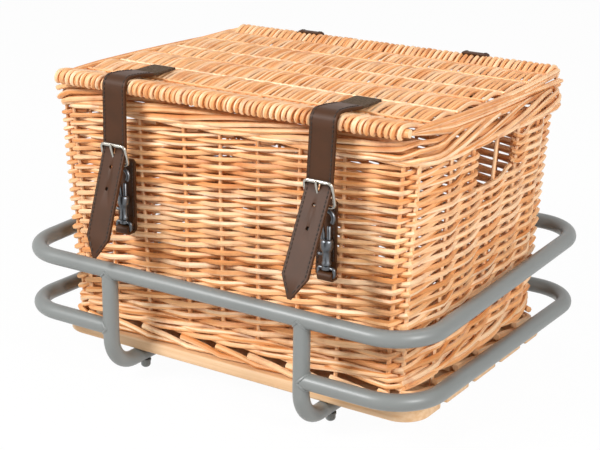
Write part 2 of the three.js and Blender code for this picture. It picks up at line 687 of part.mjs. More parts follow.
function makeStraps() {
  const top = lidZ + leatherRound;
  const lidEnd = strapY + leatherRound + STRAP_ON_LID;
  const onLid = bentPath([at(lidEnd, top), at(strapY, top), at(strapY, lidZ)], leatherRound);
  for (const [side, x] of Object.entries(strapXs)) {
    addPiece(`strap_${side}_on_lid`, alongX(ribbon(onLid), STRAP_WIDTH, x), BROWN_LEATHER);
    const sheet = alongX(ribbon(strapPath(side), true), STRAP_WIDTH, 0);
    const front = alongY(strapOutline(side), 2 * (STRAP_TAIL[side] + STRAP_BEND), strapY);
    addPiece(`strap_${side}_hanging`, common(sheet, front).translate(x, 0, 0), BROWN_LEATHER);
  }
}

// Buckles: the strap runs behind the front bar and over the heel bar, and the prong comes through it
const wireClear = BUCKLE_WIRE / 2 + CLEAR + LEATHER / 2;
const frontBar = at(0, strapY - wireClear, strapFold - BUCKLE_BAR_DROP);
const heelZ = frontBar.z - BUCKLE_HEIGHT;

// The strap's middle line at a height, within its bend
function strapMiddleAt(side, z) {
  const stations = strapPath(side).stations;
  const below = stations.findIndex(({ point }) => point.y <= z);
  const upper = stations[below - 1].point;
  const lower = stations[below].point;
  return THREE.MathUtils.lerp(upper.x, lower.x, (upper.y - z) / (upper.y - lower.y));
}

// The heel bar lies behind the strap, with room for the prong's knuckle
function heelBar(side) {
  return at(0, strapMiddleAt(side, heelZ) + LEATHER / 2 + CLEAR + PRONG_KNUCKLE / 2, heelZ);
}

function makeBuckles() {
  for (const [side, x] of Object.entries(strapXs)) {
    const heel = heelBar(side);
    const half = STRAP_WIDTH / 2 + BUCKLE_SIDE_GAP + BUCKLE_WIRE / 2;
    const corners = [
      at(-half, frontBar.y, frontBar.z), at(half, frontBar.y, frontBar.z),
      at(half, heel.y, heel.z), at(-half, heel.y, heel.z),
    ];
    const framePath = bentPath(corners, BUCKLE_CORNER, { closed: true, steps: 3 });
    const frame = closedTube(framePath, BUCKLE_WIRE, WIRE_SIDES);
    addPiece(`buckle_${side}_frame`, frame.translate(x, 0, 0), NICKEL);
    const over = (BUCKLE_WIRE + PRONG) / 2 + CLEAR;
    const up = frontBar.clone().sub(heel).normalize();
    const out = at(0, -up.z, up.y);
    const tip = frontBar.clone().addScaledVector(out, over).addScaledVector(up, PRONG_OVER_BAR);
    const shank = openTube(bentPath([heel.clone(), tip], 1), PRONG, WIRE_SIDES);
    const knuckle = alongX(circle(PRONG_KNUCKLE / 2, TUBE_SIDES), PRONG_KNUCKLE_WIDTH, 0);
    const bore = alongX(circle(BUCKLE_WIRE / 2 + CLEAR, TUBE_SIDES), STRAP_WIDTH, 0);
    for (const round of [knuckle, bore]) round.translate(0, heel.y, heel.z);
    addPiece(`buckle_${side}_prong`, cut(join(knuckle, shank), bore).translate(x, 0, 0), NICKEL);
  }
}

// Bolt snaps: a tab with a roll of leather, a swivel eye, the hooked body and its sliding bolt
const tabTop = rimTop - TAB_TOP_BELOW_RIM;
const tabBottom = tabTop - TAB_HEIGHT;
const eyeCorner = EYE_WIRE / 2 + CLEAR;
const tabLoopWidth = EYE_WIDTH - EYE_WIRE - 2 * (eyeCorner + CLEAR);
const eyeZ = tabBottom + EYE_ABOVE_TAB;
const swivelZ = eyeZ + EYE_HEIGHT;
const barrelZ = swivelZ + SWIVEL_HEIGHT - EYE_WIRE / 2 + CLEAR;
const collarTop = barrelZ + BARREL_HEIGHT + COLLAR_HEIGHT;
const hookZ = collarTop + HOOK_STEM;

function makeTab(side, x) {
  const outline = new THREE.Shape([
    new THREE.Vector2(-tabFront, tabBottom), new THREE.Vector2(-tabFront, tabTop),
    new THREE.Vector2(-outsideAt(tabTop).y - CLEAR, tabTop),
    new THREE.Vector2(-outsideAt(tabBottom).y - CLEAR, tabBottom),
  ]);
  const patch = alongX(outline, TAB_WIDTH, x);
  const roll = alongX(circle(TAB_LOOP / 2, TUBE_SIDES), tabLoopWidth, x).translate(0, -snapY, eyeZ);
  const half = tabLoopWidth / 2;
  const low = eyeZ - TAB_LOOP / 2;
  const web = block(x - half, x + half, -snapY, -tabFront + LEATHER / 2, low, low + TAB_LOOP);
  const bore = alongX(circle(EYE_WIRE / 2 + CLEAR, WIRE_SIDES), TAB_WIDTH, x).translate(0, -snapY, eyeZ);
  addPiece(`tab_${side}`, cut(join(patch, web, roll), bore), BROWN_LEATHER);
}

function makeEye(side, x) {
  const half = (EYE_WIDTH - EYE_WIRE) / 2;
  const corners = [at(-half, 0, 0), at(half, 0, 0), at(half, 0, EYE_HEIGHT), at(-half, 0, EYE_HEIGHT)];
  const ring = closedTube(bentPath(corners, eyeCorner, { closed: true, steps: 3 }), EYE_WIRE, WIRE_SIDES);
  const low = EYE_HEIGHT - EYE_WIRE / 2;
  const disc = pin(SWIVEL_DIAMETER, low, low + SWIVEL_HEIGHT, 0, 0, TUBE_SIDES);
  addPiece(`snap_${side}_eye`, join(ring, disc).translate(x, -snapY, eyeZ), ZINC);
}

function hookPath() {
  const stem = COLLAR_DIAMETER / 2 - HOOK_WIRE / 2;
  const stations = [{ point: at(-stem, 0, collarTop - HOOK_WIRE), tangent: at(0, 0, 1) }];
  const steps = 2 * BEND_STEPS;
  for (let step = 0; step <= steps; step += 1) {
    const angle = THREE.MathUtils.lerp(180, HOOK_END, step / steps) * RAD;
    const point = at(HOOK_RADIUS * Math.cos(angle), 0, hookZ + HOOK_RADIUS * Math.sin(angle));
    stations.push({ point, tangent: at(Math.sin(angle), 0, -Math.cos(angle)) });
  }
  return new StationPath(stations, false);
}

function makeSnap(side, x) {
  makeTab(side, x);
  makeEye(side, x);
  const collarZ = barrelZ + BARREL_HEIGHT;
  const body = turned([
    [0, barrelZ], [BARREL_DIAMETER / 2, barrelZ], [BARREL_DIAMETER / 2, collarZ],
    [COLLAR_DIAMETER / 2, collarZ], [COLLAR_DIAMETER / 2, collarTop], [0, collarTop],
  ], TUBE_SIDES);
  const noseX = HOOK_RADIUS * Math.cos(HOOK_END * RAD);
  const noseZ = hookZ + HOOK_RADIUS * Math.sin(HOOK_END * RAD);
  const boltX = Math.min(noseX / 2, COLLAR_DIAMETER / 2 - SNAP_BOLT);
  const boltTop = noseZ - HOOK_WIRE / 2 - SNAP_MOUTH;
  const boreZ = barrelZ + BARREL_FLOOR;
  const boltEnd = boreZ + CLEAR + SNAP_BOLT_TRAVEL;
  const bore = pin(SNAP_BOLT + 2 * CLEAR, boreZ, collarTop + SNAP_BOLT, boltX, 0);
  const knobZ = boltEnd + KNOB / 2;
  const slotHalf = KNOB / 2 + CLEAR;
  const slot = block(-COLLAR_DIAMETER, boltX, -slotHalf, slotHalf, boreZ, knobZ + slotHalf);
  addPiece(`snap_${side}_body`, cut(join(body, openTube(hookPath(), HOOK_WIRE, WIRE_SIDES)), bore, slot)
    .translate(x, -snapY, 0), ZINC);
  const rod = pin(SNAP_BOLT, boltEnd, boltTop, boltX, 0);
  const reach = KNOB_REACH + boltX;
  const knob = alongX(circle(KNOB / 2, WIRE_SIDES), reach, boltX - reach / 2).translate(0, 0, knobZ);
  addPiece(`snap_${side}_bolt`, join(rod, knob).translate(x, -snapY, 0), ZINC);
}

makeCarrier();
makeDeck();
makeBasket();
makeLid();
makeHinges();
makeStraps();
makeBuckles();
for (const [side, x] of Object.entries(strapXs)) makeSnap(side, x);

// The strap tails reach furthest forward, so the middle of the whole lies in front of the carrier's
const extent = new THREE.Box3().setFromObject(basket);
const middle = extent.getCenter(new THREE.Vector3());
basket.position.set(-middle.x, -middle.y, -extent.min.z);

export default basket;
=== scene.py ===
"""Wicker bicycle basket: woven willow, leather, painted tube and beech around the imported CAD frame.

Metres, +Z up, straps and buckles at the front, towards -Y.
"""
import math
import random

import bmesh
import bpy
from bpy.props import FloatProperty, FloatVectorProperty, PointerProperty
from mathutils import Matrix, Vector


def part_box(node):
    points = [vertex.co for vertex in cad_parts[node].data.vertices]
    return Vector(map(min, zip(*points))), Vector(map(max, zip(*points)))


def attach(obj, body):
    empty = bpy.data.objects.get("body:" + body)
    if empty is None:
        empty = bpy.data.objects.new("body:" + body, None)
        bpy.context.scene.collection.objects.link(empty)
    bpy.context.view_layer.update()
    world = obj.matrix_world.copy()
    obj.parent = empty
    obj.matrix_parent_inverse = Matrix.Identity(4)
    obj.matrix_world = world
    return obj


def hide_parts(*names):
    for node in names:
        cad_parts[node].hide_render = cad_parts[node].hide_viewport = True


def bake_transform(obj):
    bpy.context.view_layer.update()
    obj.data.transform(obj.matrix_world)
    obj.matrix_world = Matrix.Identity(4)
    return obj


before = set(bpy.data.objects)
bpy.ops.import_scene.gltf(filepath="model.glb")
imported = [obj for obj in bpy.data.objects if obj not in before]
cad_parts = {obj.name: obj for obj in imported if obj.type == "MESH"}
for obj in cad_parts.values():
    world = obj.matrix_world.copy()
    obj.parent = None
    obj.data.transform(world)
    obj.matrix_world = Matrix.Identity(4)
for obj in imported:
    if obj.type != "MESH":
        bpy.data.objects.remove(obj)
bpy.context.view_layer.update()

bl_info = {
    "name": "Wicker bicycle basket",
    "version": (1, 0, 0),
    "blender": (4, 5, 0),
    "location": "View3D > Sidebar > Basket",
    "description": "Weaves the willow basket and dresses its carrier, straps and fittings",
    "category": "Add Mesh",
}

MM = 0.001
SIDE_SIGNS = {"left": -1, "right": 1}


def middle_of(node):
    """Middle of a CAD node's box."""
    low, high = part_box(node)
    return (low + high) / 2


def between(start, end, share):
    """The number at a share of the way from a start to an end."""
    return start + (end - start) * share


def yz(y, z):
    """A place in the upright plane along a strap."""
    return Vector((0, y, z))


# Places taken from the frame
RIM_LOW, RIM_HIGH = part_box("rim_border")
RIM_Z = (RIM_LOW.z + RIM_HIGH.z) / 2
FOOT_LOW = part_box("foot_border")[0]
WALL_LOW, WALL_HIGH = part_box("wall_front")
BASE_LOW, BASE_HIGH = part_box("basket_base")
LID_LOW, LID_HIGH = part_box("lid_panel")
LID_Z = (LID_LOW.z + LID_HIGH.z) / 2
LID_FRONT = middle_of("lid_front_stick").y
LID_BACK = middle_of("lid_back_stick").y
MIDDLE_Y = (RIM_LOW.y + RIM_HIGH.y) / 2
BASE_HALF = Vector((BASE_HIGH.x, BASE_HIGH.y - MIDDLE_Y))
RIM_HALF = Vector((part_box("wall_right")[1].x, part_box("wall_back")[1].y - MIDDLE_Y))

# Fixed sizes of the real thing that the frame's boxes don't give
WALL = 12 * MM
FOOT_HALF = BASE_HALF + Vector((WALL, WALL)) * 1.025
BASKET_CORNER = 26 * MM
DECK_CORNER = 28 * MM
RAIL_CORNER = 46 * MM
HOOP_BEND = 32 * MM
TUBE_RADIUS = 8 * MM
WELD = 1.3 * MM                 # radius of the weld beads
LEATHER = 3 * MM


def linear(code):
    """Linear RGB of an sRGB hex colour."""
    channels = [int(code[place:place + 2], 16) / 255 for place in (1, 3, 5)]
    return tuple(c / 12.92 if c <= 0.04045 else ((c + 0.055) / 1.055) ** 2.4 for c in channels)


def length(name, description, size):
    """A length property with its default in millimetres."""
    return FloatProperty(name=name, description=description, default=size * MM, unit="LENGTH", precision=4)


def colour(name, description, code):
    """A colour property with its default as a hex colour."""
    return FloatVectorProperty(name=name, description=description, default=linear(code), subtype="COLOR",
                               min=0.0, max=1.0)


class BasketSizes(bpy.types.PropertyGroup):
    """Sizes of the weave, the leather and the fittings."""

    weaver: length("Weaver", "Radius of the rods woven through the walls", 2.58)
    stake: length("Stake", "Radius of the upright stakes", 2.2)
    row_pitch: length("Row pitch", "Height of one row of weaving", 4.85)
    weave_swing: length("Weave swing", "How far a weaver swings out and in round the stakes", 3.7)
    border_rod: length("Border rod", "Radius of the rods in the rolled top border", 2.6)
    border_span: FloatProperty(name="Border span", description="Stakes passed by one rod of the top border",
                               default=5.0)
    foot_rod: length("Foot rod", "Radius of the rods of the foot border", 3.3)
    lid_weaver: length("Lid weaver", "Radius of the rods laid across the lid", 2.5)
    lid_weaver_pitch: length("Lid weaver pitch", "Spacing of the lid's weavers", 6.5)
    lid_twine: length("Lid twine", "Radius of the thin rods tied along the lid", 1.4)
    lid_stick: length("Lid stick", "Radius of the sticks inside the lid's front and back edges", 3.9)
    end_rod: length("End rod", "Radius of the rods bundled along the lid's ends", 2.5)
    strap_width: length("Strap width", "Width of the straps", 27)
    stitch: length("Stitch", "Length of one stitch with its gap", 4.2)
    stitch_inset: length("Stitch inset", "From the strap's edge to the stitching", 2.4)
    buckle_wire: length("Buckle wire", "Radius of the buckle frames", 1.6)


class BasketColours(bpy.types.PropertyGroup):
    """Colours of the finishes."""

    willow_dark: colour("Willow, dark", "Darkest rods", "#D88D4E")
    willow_mid: colour("Willow, middle", "Most rods", "#F0B77F")
    willow_pale: colour("Willow, pale", "Palest rods", "#F8D4AC")
    willow_stain: colour("Willow, stain", "Brownish places on the rods", "#B4602B")
    paint: colour("Paint", "Powder coat of the carrier", "#797C7A")
    beech: colour("Beech", "Slats of the deck", "#E3C099")
    beech_grain: colour("Beech grain", "Darker grain of the slats", "#CC9C69")
    leather: colour("Leather", "Grain side of the straps", "#442713")
    leather_dark: colour("Leather, dark", "Creases and pores", "#33200F")
    flesh_side: colour("Flesh side", "Rough side of the leather", "#6B5C4C")
    thread: colour("Thread", "Waxed stitching", "#150E09")
    nickel: colour("Nickel", "Buckles", "#B5B1A8")
    zinc: colour("Zinc", "Bolt snaps", "#6E7175")


# Materials

def add_node(tree, kind, inputs=None, **settings):
    """Adds one node, with its settings and its inputs set or linked."""
    made = tree.nodes.new(kind)
    for name, value in settings.items():
        setattr(made, name, value)
    for socket, value in (inputs or {}).items():
        if isinstance(value, bpy.types.NodeSocket):
            tree.links.new(value, made.inputs[socket])
        else:
            made.inputs[socket].default_value = value
    return made


def new_finish(name, sockets):
    """A new material with some of its shader's sockets set, its node tree and its shader."""
    material = bpy.data.materials.new(name)
    material.use_nodes = True
    tree = material.node_tree
    shader = tree.nodes["Principled BSDF"]
    for socket, value in sockets.items():
        shader.inputs[socket].default_value = value
    return material, tree, shader


def dress(tree, shader, tint, height=None, strength=0.0, depth=0.0):
    """Links a colour to a shader, and a bump of some strength and depth that follows a height."""
    tree.links.new(tint, shader.inputs["Base Color"])
    if height is not None:
        bump = add_node(tree, "ShaderNodeBump", {"Height": height, "Strength": strength, "Distance": depth})
        tree.links.new(bump.outputs["Normal"], shader.inputs["Normal"])


def rgba(value):
    """A colour with its alpha."""
    return (*value, 1.0)


def buff_willow(colours):
    """Peeled rods boiled in their bark: satin, straw to honey, every rod its own tone, faint streaks."""
    material, tree, shader = new_finish("Buff willow", {"Roughness": 0.46, "Specular IOR Level": 0.42})
    rod = add_node(tree, "ShaderNodeNewGeometry").outputs["Random Per Island"]
    place = add_node(tree, "ShaderNodeTexCoord")
    tone = add_node(tree, "ShaderNodeValToRGB", {"Fac": rod})
    ramp = tone.color_ramp
    ramp.elements[0].color = rgba(colours.willow_dark)
    ramp.elements[1].color = rgba(colours.willow_pale)
    ramp.elements.new(0.4).color = rgba(colours.willow_mid)
    # Stained places are about 25 mm long
    stain = add_node(tree, "ShaderNodeTexNoise", {
        "Vector": place.outputs["Object"], "Scale": 1 / (25 * MM), "Detail": 3.0, "Roughness": 0.6})
    stained = add_node(tree, "ShaderNodeMapRange", {
        "Value": stain.outputs["Fac"], "From Min": 0.5, "From Max": 0.78, "To Max": 0.55})
    body = add_node(tree, "ShaderNodeMix", {
        "Factor": stained.outputs["Result"], 6: tone.outputs["Color"],
        7: rgba(colours.willow_stain)}, data_type="RGBA")
    # Wood fibres run along a rod: a few wide bands over its length, ten round it
    along = add_node(tree, "ShaderNodeMapping", {"Vector": place.outputs["UV"], "Scale": (9.0, 10.0, 1.0)})
    shift = add_node(tree, "ShaderNodeMath", {0: rod, 1: 37.0}, operation="MULTIPLY")
    fibre = add_node(tree, "ShaderNodeTexNoise", {
        "Vector": along.outputs["Vector"], "W": shift.outputs["Value"], "Scale": 1.0, "Detail": 4.0},
        noise_dimensions="4D")
    streak = add_node(tree, "ShaderNodeMapRange", {
        "Value": fibre.outputs["Fac"], "From Min": 0.3, "From Max": 0.7, "To Min": 0.86, "To Max": 1.08})
    lit = add_node(tree, "ShaderNodeMix", {
        "Factor": 1.0, 6: body.outputs[2], 7: streak.outputs["Result"]}, data_type="RGBA",
        blend_type="MULTIPLY")
    dress(tree, shader, lit.outputs[2], fibre.outputs["Fac"], 0.25, 0.3 * MM)
    return material


def powder_coat(colours):
    """Grey polyester powder, baked on steel tube: satin, with a faint orange peel."""
    material, tree, shader = new_finish("Grey powder coat", {
        "Roughness": 0.42, "Coat Weight": 0.15, "Coat Roughness": 0.3})
    place = add_node(tree, "ShaderNodeTexCoord")
    cloud = add_node(tree, "ShaderNodeTexNoise", {
        "Vector": place.outputs["Object"], "Scale": 1 / (40 * MM), "Detail": 2.0})
    shade = add_node(tree, "ShaderNodeMapRange", {
        "Value": cloud.outputs["Fac"], "To Min": 0.95, "To Max": 1.05})
    paint = add_node(tree, "ShaderNodeMix", {
        "Factor": 1.0, 6: rgba(colours.paint), 7: shade.outputs["Result"]}, data_type="RGBA",
        blend_type="MULTIPLY")
    # Orange peel of real powder is about 1 mm; 1.5 mm still shows at this size
    peel = add_node(tree, "ShaderNodeTexNoise", {
        "Vector": place.outputs["Object"], "Scale": 1 / (1.5 * MM), "Detail": 1.0})
    dress(tree, shader, paint.outputs[2], peel.outputs["Fac"], 0.08, 0.1 * MM)
    return material


def planed_beech(colours):
    """Planed and oiled beech: pale, straight grain along the board with short dark flecks."""
    material, tree, shader = new_finish("Planed beech", {"Roughness": 0.55})
    place = add_node(tree, "ShaderNodeTexCoord")
    board = add_node(tree, "ShaderNodeNewGeometry").outputs["Random Per Island"]
    # Growth rings 4 mm apart, drawn out over 150 mm of board
    drawn = add_node(tree, "ShaderNodeMapping", {
        "Vector": place.outputs["Object"], "Scale": (1 / (150 * MM), 1 / (4 * MM), 1 / (4 * MM))})
    shift = add_node(tree, "ShaderNodeMath", {0: board, 1: 53.0}, operation="MULTIPLY")
    rings = add_node(tree, "ShaderNodeTexNoise", {
        "Vector": drawn.outputs["Vector"], "W": shift.outputs["Value"], "Scale": 1.0, "Detail": 4.0},
        noise_dimensions="4D")
    # Rays show as flecks 6 mm long and 0.8 mm wide
    ray = add_node(tree, "ShaderNodeMapping", {
        "Vector": place.outputs["Object"], "Scale": (1 / (6 * MM), 1 / (0.8 * MM), 1 / (0.8 * MM))})
    fleck = add_node(tree, "ShaderNodeTexNoise", {
        "Vector": ray.outputs["Vector"], "Scale": 1.0, "Detail": 1.0})
    fleck_share = add_node(tree, "ShaderNodeMapRange", {
        "Value": fleck.outputs["Fac"], "From Min": 0.58, "From Max": 0.75, "To Max": 0.4})
    grain = add_node(tree, "ShaderNodeMapRange", {
        "Value": rings.outputs["Fac"], "From Min": 0.35, "From Max": 0.7, "To Max": 0.75})
    share = add_node(tree, "ShaderNodeMath", {
        0: grain.outputs["Result"], 1: fleck_share.outputs["Result"]}, operation="MAXIMUM")
    wood = add_node(tree, "ShaderNodeMix", {
        "Factor": share.outputs["Value"], 6: rgba(colours.beech), 7: rgba(colours.beech_grain)},
        data_type="RGBA")
    dress(tree, shader, wood.outputs[2], rings.outputs["Fac"], 0.12, 0.2 * MM)
    return material


def bridle_leather(colours):
    """Vegetable tanned, waxed leather: dark brown, dull shine, fine pebbled grain."""
    material, tree, shader = new_finish("Bridle leather", {"Roughness": 0.5, "Specular IOR Level": 0.22})
    place = add_node(tree, "ShaderNodeTexCoord")
    cloud = add_node(tree, "ShaderNodeTexNoise", {
        "Vector": place.outputs["Object"], "Scale": 1 / (14 * MM), "Detail": 4.0})
    worn = add_node(tree, "ShaderNodeMapRange", {
        "Value": cloud.outputs["Fac"], "From Min": 0.35, "From Max": 0.7, "To Max": 0.45})
    skin = add_node(tree, "ShaderNodeMix", {
        "Factor": worn.outputs["Result"], 6: rgba(colours.leather), 7: rgba(colours.leather_dark)},
        data_type="RGBA")
    # Grain cells of about 0.8 mm
    cells = add_node(tree, "ShaderNodeTexVoronoi", {
        "Vector": place.outputs["Object"], "Scale": 1 / (0.8 * MM)}, feature="SMOOTH_F1")
    dress(tree, shader, skin.outputs[2], cells.outputs["Distance"], 0.22, 0.15 * MM)
    return material


def leather_flesh_side(colours):
    """The split, unfinished side of the leather: matt, grey brown, rough fibres."""
    material, tree, shader = new_finish("Leather flesh side", {"Roughness": 0.9, "Specular IOR Level": 0.2})
    place = add_node(tree, "ShaderNodeTexCoord")
    # Fibres of about 1.6 mm
    fibre = add_node(tree, "ShaderNodeTexNoise", {
        "Vector": place.outputs["Object"], "Scale": 1 / (1.6 * MM), "Detail": 6.0, "Roughness": 0.7})
    worn = add_node(tree, "ShaderNodeMapRange", {
        "Value": fibre.outputs["Fac"], "From Min": 0.38, "From Max": 0.66})
    skin = add_node(tree, "ShaderNodeMix", {
        "Factor": worn.outputs["Result"], 6: rgba(colours.leather_dark), 7: rgba(colours.flesh_side)},
        data_type="RGBA")
    dress(tree, shader, skin.outputs[2], fibre.outputs["Fac"], 0.7, 0.5 * MM)
    return material


def waxed_thread(colours):
    """Twisted linen thread pulled through wax: dark, with a painted soft shine, a lighter brown, on each
    twist.
    """
    material, tree, shader = new_finish("Waxed thread", {"Roughness": 0.6})
    place = add_node(tree, "ShaderNodeTexCoord")
    # A twist is 2.4 mm long; each twist gets a painted shine in a lighter brown
    twist_sheen = add_node(tree, "ShaderNodeTexWave", {
        "Vector": place.outputs["Object"], "Scale": 1 / (2.4 * MM), "Distortion": 1.0})
    thread = add_node(tree, "ShaderNodeMix", {
        "Factor": twist_sheen.outputs["Fac"], 6: rgba(colours.thread), 7: rgba(colours.leather_dark)},
        data_type="RGBA")
    dress(tree, shader, thread.outputs[2])
    return material


def nickel_plate(colours):
    """Bright nickel on steel wire: warm mirror, slightly clouded by handling."""
    material, tree, shader = new_finish("Nickel plate", {
        "Base Color": rgba(colours.nickel), "Metallic": 1.0, "Roughness": 0.2})
    place = add_node(tree, "ShaderNodeTexCoord")
    # Clouds of about 3 mm
    cloud = add_node(tree, "ShaderNodeTexNoise", {
        "Vector": place.outputs["Object"], "Scale": 1 / (3 * MM), "Detail": 4.0})
    rough = add_node(tree, "ShaderNodeMapRange", {
        "Value": cloud.outputs["Fac"], "To Min": 0.12, "To Max": 0.34})
    tree.links.new(rough.outputs["Result"], shader.inputs["Roughness"])
    return material


def cast_zinc(colours):
    """Die cast zinc, tumbled and plated: grey, soft edged, finely pitted."""
    material, tree, shader = new_finish("Cast zinc", {"Metallic": 1.0, "Roughness": 0.36})
    place = add_node(tree, "ShaderNodeTexCoord")
    # Dull places of about 4 mm, and pits of 0.6 mm
    cloud = add_node(tree, "ShaderNodeTexNoise", {
        "Vector": place.outputs["Object"], "Scale": 1 / (4 * MM), "Detail": 5.0})
    dull = add_node(tree, "ShaderNodeMapRange", {"Value": cloud.outputs["Fac"], "To Min": 0.7, "To Max": 1.1})
    metal = add_node(tree, "ShaderNodeMix", {
        "Factor": 1.0, 6: rgba(colours.zinc), 7: dull.outputs["Result"]}, data_type="RGBA",
        blend_type="MULTIPLY")
    pits = add_node(tree, "ShaderNodeTexNoise", {
        "Vector": place.outputs["Object"], "Scale": 1 / (0.6 * MM), "Detail": 2.0})
    dress(tree, shader, metal.outputs[2], pits.outputs["Fac"], 0.15, 0.1 * MM)
    return material


FINISHES = {
    "willow": buff_willow, "paint": powder_coat, "beech": planed_beech, "leather": bridle_leather,
    "flesh": leather_flesh_side, "thread": waxed_thread, "nickel": nickel_plate, "zinc": cast_zinc,
}
made_finishes = {}


def finish(name):
    """The material for a finish, made at its first use."""
    if name not in made_finishes:
        made_finishes[name] = FINISHES[name](bpy.context.scene.basket_colours)
    return made_finishes[name]


# Shapes

def smooth(mesh, angle=40):
    """Smooth shading with edges sharper than an angle kept."""
    mesh.shade_smooth()
    mesh.set_sharp_from_angle(angle=math.radians(angle))
    return mesh


def mesh_of(bm):
    """A mesh from a bmesh, which is freed."""
    mesh = bpy.data.meshes.new("piece")
    bm.to_mesh(mesh)
    bm.free()
    return smooth(mesh)


def evaluated(data, *modifiers):
    """The mesh of a curve, or of a mesh after modifiers, each given as its kind and settings."""
    holder = bpy.data.objects.new("holder", data)
    bpy.context.scene.collection.objects.link(holder)
    for kind, settings in modifiers:
        modifier = holder.modifiers.new(kind, kind)
        for name, value in settings.items():
            setattr(modifier, name, value)
    graph = bpy.context.evaluated_depsgraph_get()
    mesh = bpy.data.meshes.new_from_object(holder.evaluated_get(graph))
    bpy.data.objects.remove(holder)
    return mesh


def rods(routes, sides=6, closed=False):
    """Round rods along routes of places and radii, as one mesh with a UV map along each rod."""
    curve = bpy.data.curves.new("rods", "CURVE")
    curve.dimensions = "3D"
    curve.bevel_depth = 1.0
    curve.bevel_resolution = (sides - 4) // 2
    curve.use_fill_caps = not closed
    for route in routes:
        spline = curve.splines.new("POLY")
        spline.points.add(len(route) - 1)
        spline.use_cyclic_u = closed
        for point, (place, radius) in zip(spline.points, route):
            point.co = (*place, 1.0)
            point.radius = radius
    return smooth(evaluated(curve))


def tube(places, radius, sides, closed=False):
    """One round tube of even radius."""
    return rods([[(place, radius) for place in places]], sides, closed)


def joined(meshes):
    """Several meshes as one."""
    bm = bmesh.new()
    for mesh in meshes:
        bm.from_mesh(mesh)
        bpy.data.meshes.remove(mesh)
    return mesh_of(bm)


def turned(profile, centre, steps=32, turn=None):
    """A round piece: radii and heights in millimetres spun about an upright axis, then turned and placed."""
    bm = bmesh.new()
    verts = [bm.verts.new((radius * MM, 0, height * MM)) for radius, height in profile]
    edges = [bm.edges.new(pair) for pair in zip(verts, verts[1:])]
    bmesh.ops.spin(bm, geom=verts + edges, cent=(0, 0, 0), axis=(0, 0, 1), angle=2 * math.pi, steps=steps,
                   use_merge=True)
    bmesh.ops.remove_doubles(bm, verts=bm.verts, dist=0.001 * MM)
    bmesh.ops.recalc_face_normals(bm, faces=bm.faces)
    if turn:
        bmesh.ops.transform(bm, matrix=turn, verts=bm.verts)
    bmesh.ops.translate(bm, verts=bm.verts, vec=centre)
    return mesh_of(bm)


def board(low, high, corner, corner_signs, edge):
    """A board with some upright corners rounded and all its edges eased."""
    bm = bmesh.new()
    bmesh.ops.create_cube(bm, size=1.0)
    bmesh.ops.scale(bm, vec=high - low, verts=bm.verts)
    if corner_signs:
        upright = [e for e in bm.edges if abs(e.verts[0].co.z - e.verts[1].co.z) > edge
                   and math.copysign(1, e.verts[0].co.y) in corner_signs]
        bmesh.ops.bevel(bm, geom=upright, offset=corner, affect="EDGES", segments=12, profile=0.5,
                        material=-1)
    sharp = [e for e in bm.edges if e.calc_face_angle(0.0) > math.radians(60)]
    bmesh.ops.bevel(bm, geom=sharp, offset=edge, affect="EDGES", segments=3, profile=0.5, material=-1)
    bmesh.ops.translate(bm, verts=bm.verts, vec=(low + high) / 2)
    return mesh_of(bm)


def bent_route(corners, radius, steps=8, closed=False):
    """Places along straight runs whose corners are rounded by one radius."""
    route = []
    count = len(corners)
    for index, corner in enumerate(corners):
        if not closed and index in (0, count - 1):
            route.append(corner.copy())
            continue
        along = (corner - corners[index - 1]).normalized()
        after = (corners[(index + 1) % count] - corner).normalized()
        turn = along.angle(after)
        inward = (after - along * along.dot(after)).normalized()
        start = corner - along * radius * math.tan(turn / 2)
        for step in range(steps + 1):
            angle = turn * step / steps
            route.append(start + along * radius * math.sin(angle) + inward * radius * (1 - math.cos(angle)))
    return route


def add_piece(name, finish_name, body, nodes, *meshes):
    """Puts meshes into the scene as one piece that stands for CAD nodes: it rides on a body named by a
    string, and given anything else it stays where it is.
    """
    mesh = joined(meshes) if len(meshes) > 1 else meshes[0]
    mesh.name = name
    piece = bpy.data.objects.new(name, mesh)
    bpy.context.scene.collection.objects.link(piece)
    mesh.materials.clear()
    mesh.materials.append(finish(finish_name))
    if isinstance(body, str):
        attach(piece, body)
    else:
        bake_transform(piece)
    if nodes:
        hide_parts(*nodes)
    return piece


# The wall: a rounded rectangle that widens to the rim, with its stakes

WALL_ROUND = BASKET_CORNER - WALL / 2
FRONT_STAKES = [x * MM for x in (-182, -145, -102, -50, -8.5, 33.5, 79, 125, 182)]
END_STAKES = [y * MM for y in (-90, -47, 0, 47, 90)]
CORNER_STAKES = (0.37, 0.63)    # share of the corner's arc, after a long side and after an end
HOLE_STAKES = (11, 13, 27, 29)  # stakes at both edges of the hand holes, counted from the front left


def wall_half(z):
    """Half length and half depth of the wall's middle at a height."""
    share = (z - WALL_LOW.z) / (WALL_HIGH.z - WALL_LOW.z)
    return FOOT_HALF.lerp(RIM_HALF, share) - Vector((WALL, WALL)) / 2


def side_lengths():
    """Lengths of the four straight sides and the corners after them, halfway up."""
    half = wall_half((WALL_LOW.z + WALL_HIGH.z) / 2)
    arc = WALL_ROUND * math.pi / 2
    straight = [2 * (half.x - WALL_ROUND), 2 * (half.y - WALL_ROUND)]
    return [straight[0], arc, straight[1], arc] * 2


def stake_distances():
    """Distance of each stake along the wall, from the left end of the front."""
    lengths = side_lengths()
    distances = []
    start = 0.0
    for quarter in range(4):
        stakes = END_STAKES if quarter % 2 else FRONT_STAKES
        straight, arc = lengths[2 * quarter:2 * quarter + 2]
        distances += [start + straight / 2 + stake for stake in stakes]
        distances.append(start + straight + arc * CORNER_STAKES[quarter % 2])
        start += straight + arc
    return distances


LENGTHS = side_lengths()
ROUND_TRIP = sum(LENGTHS)
STAKES = stake_distances()
STAKE_COUNT = len(STAKES)


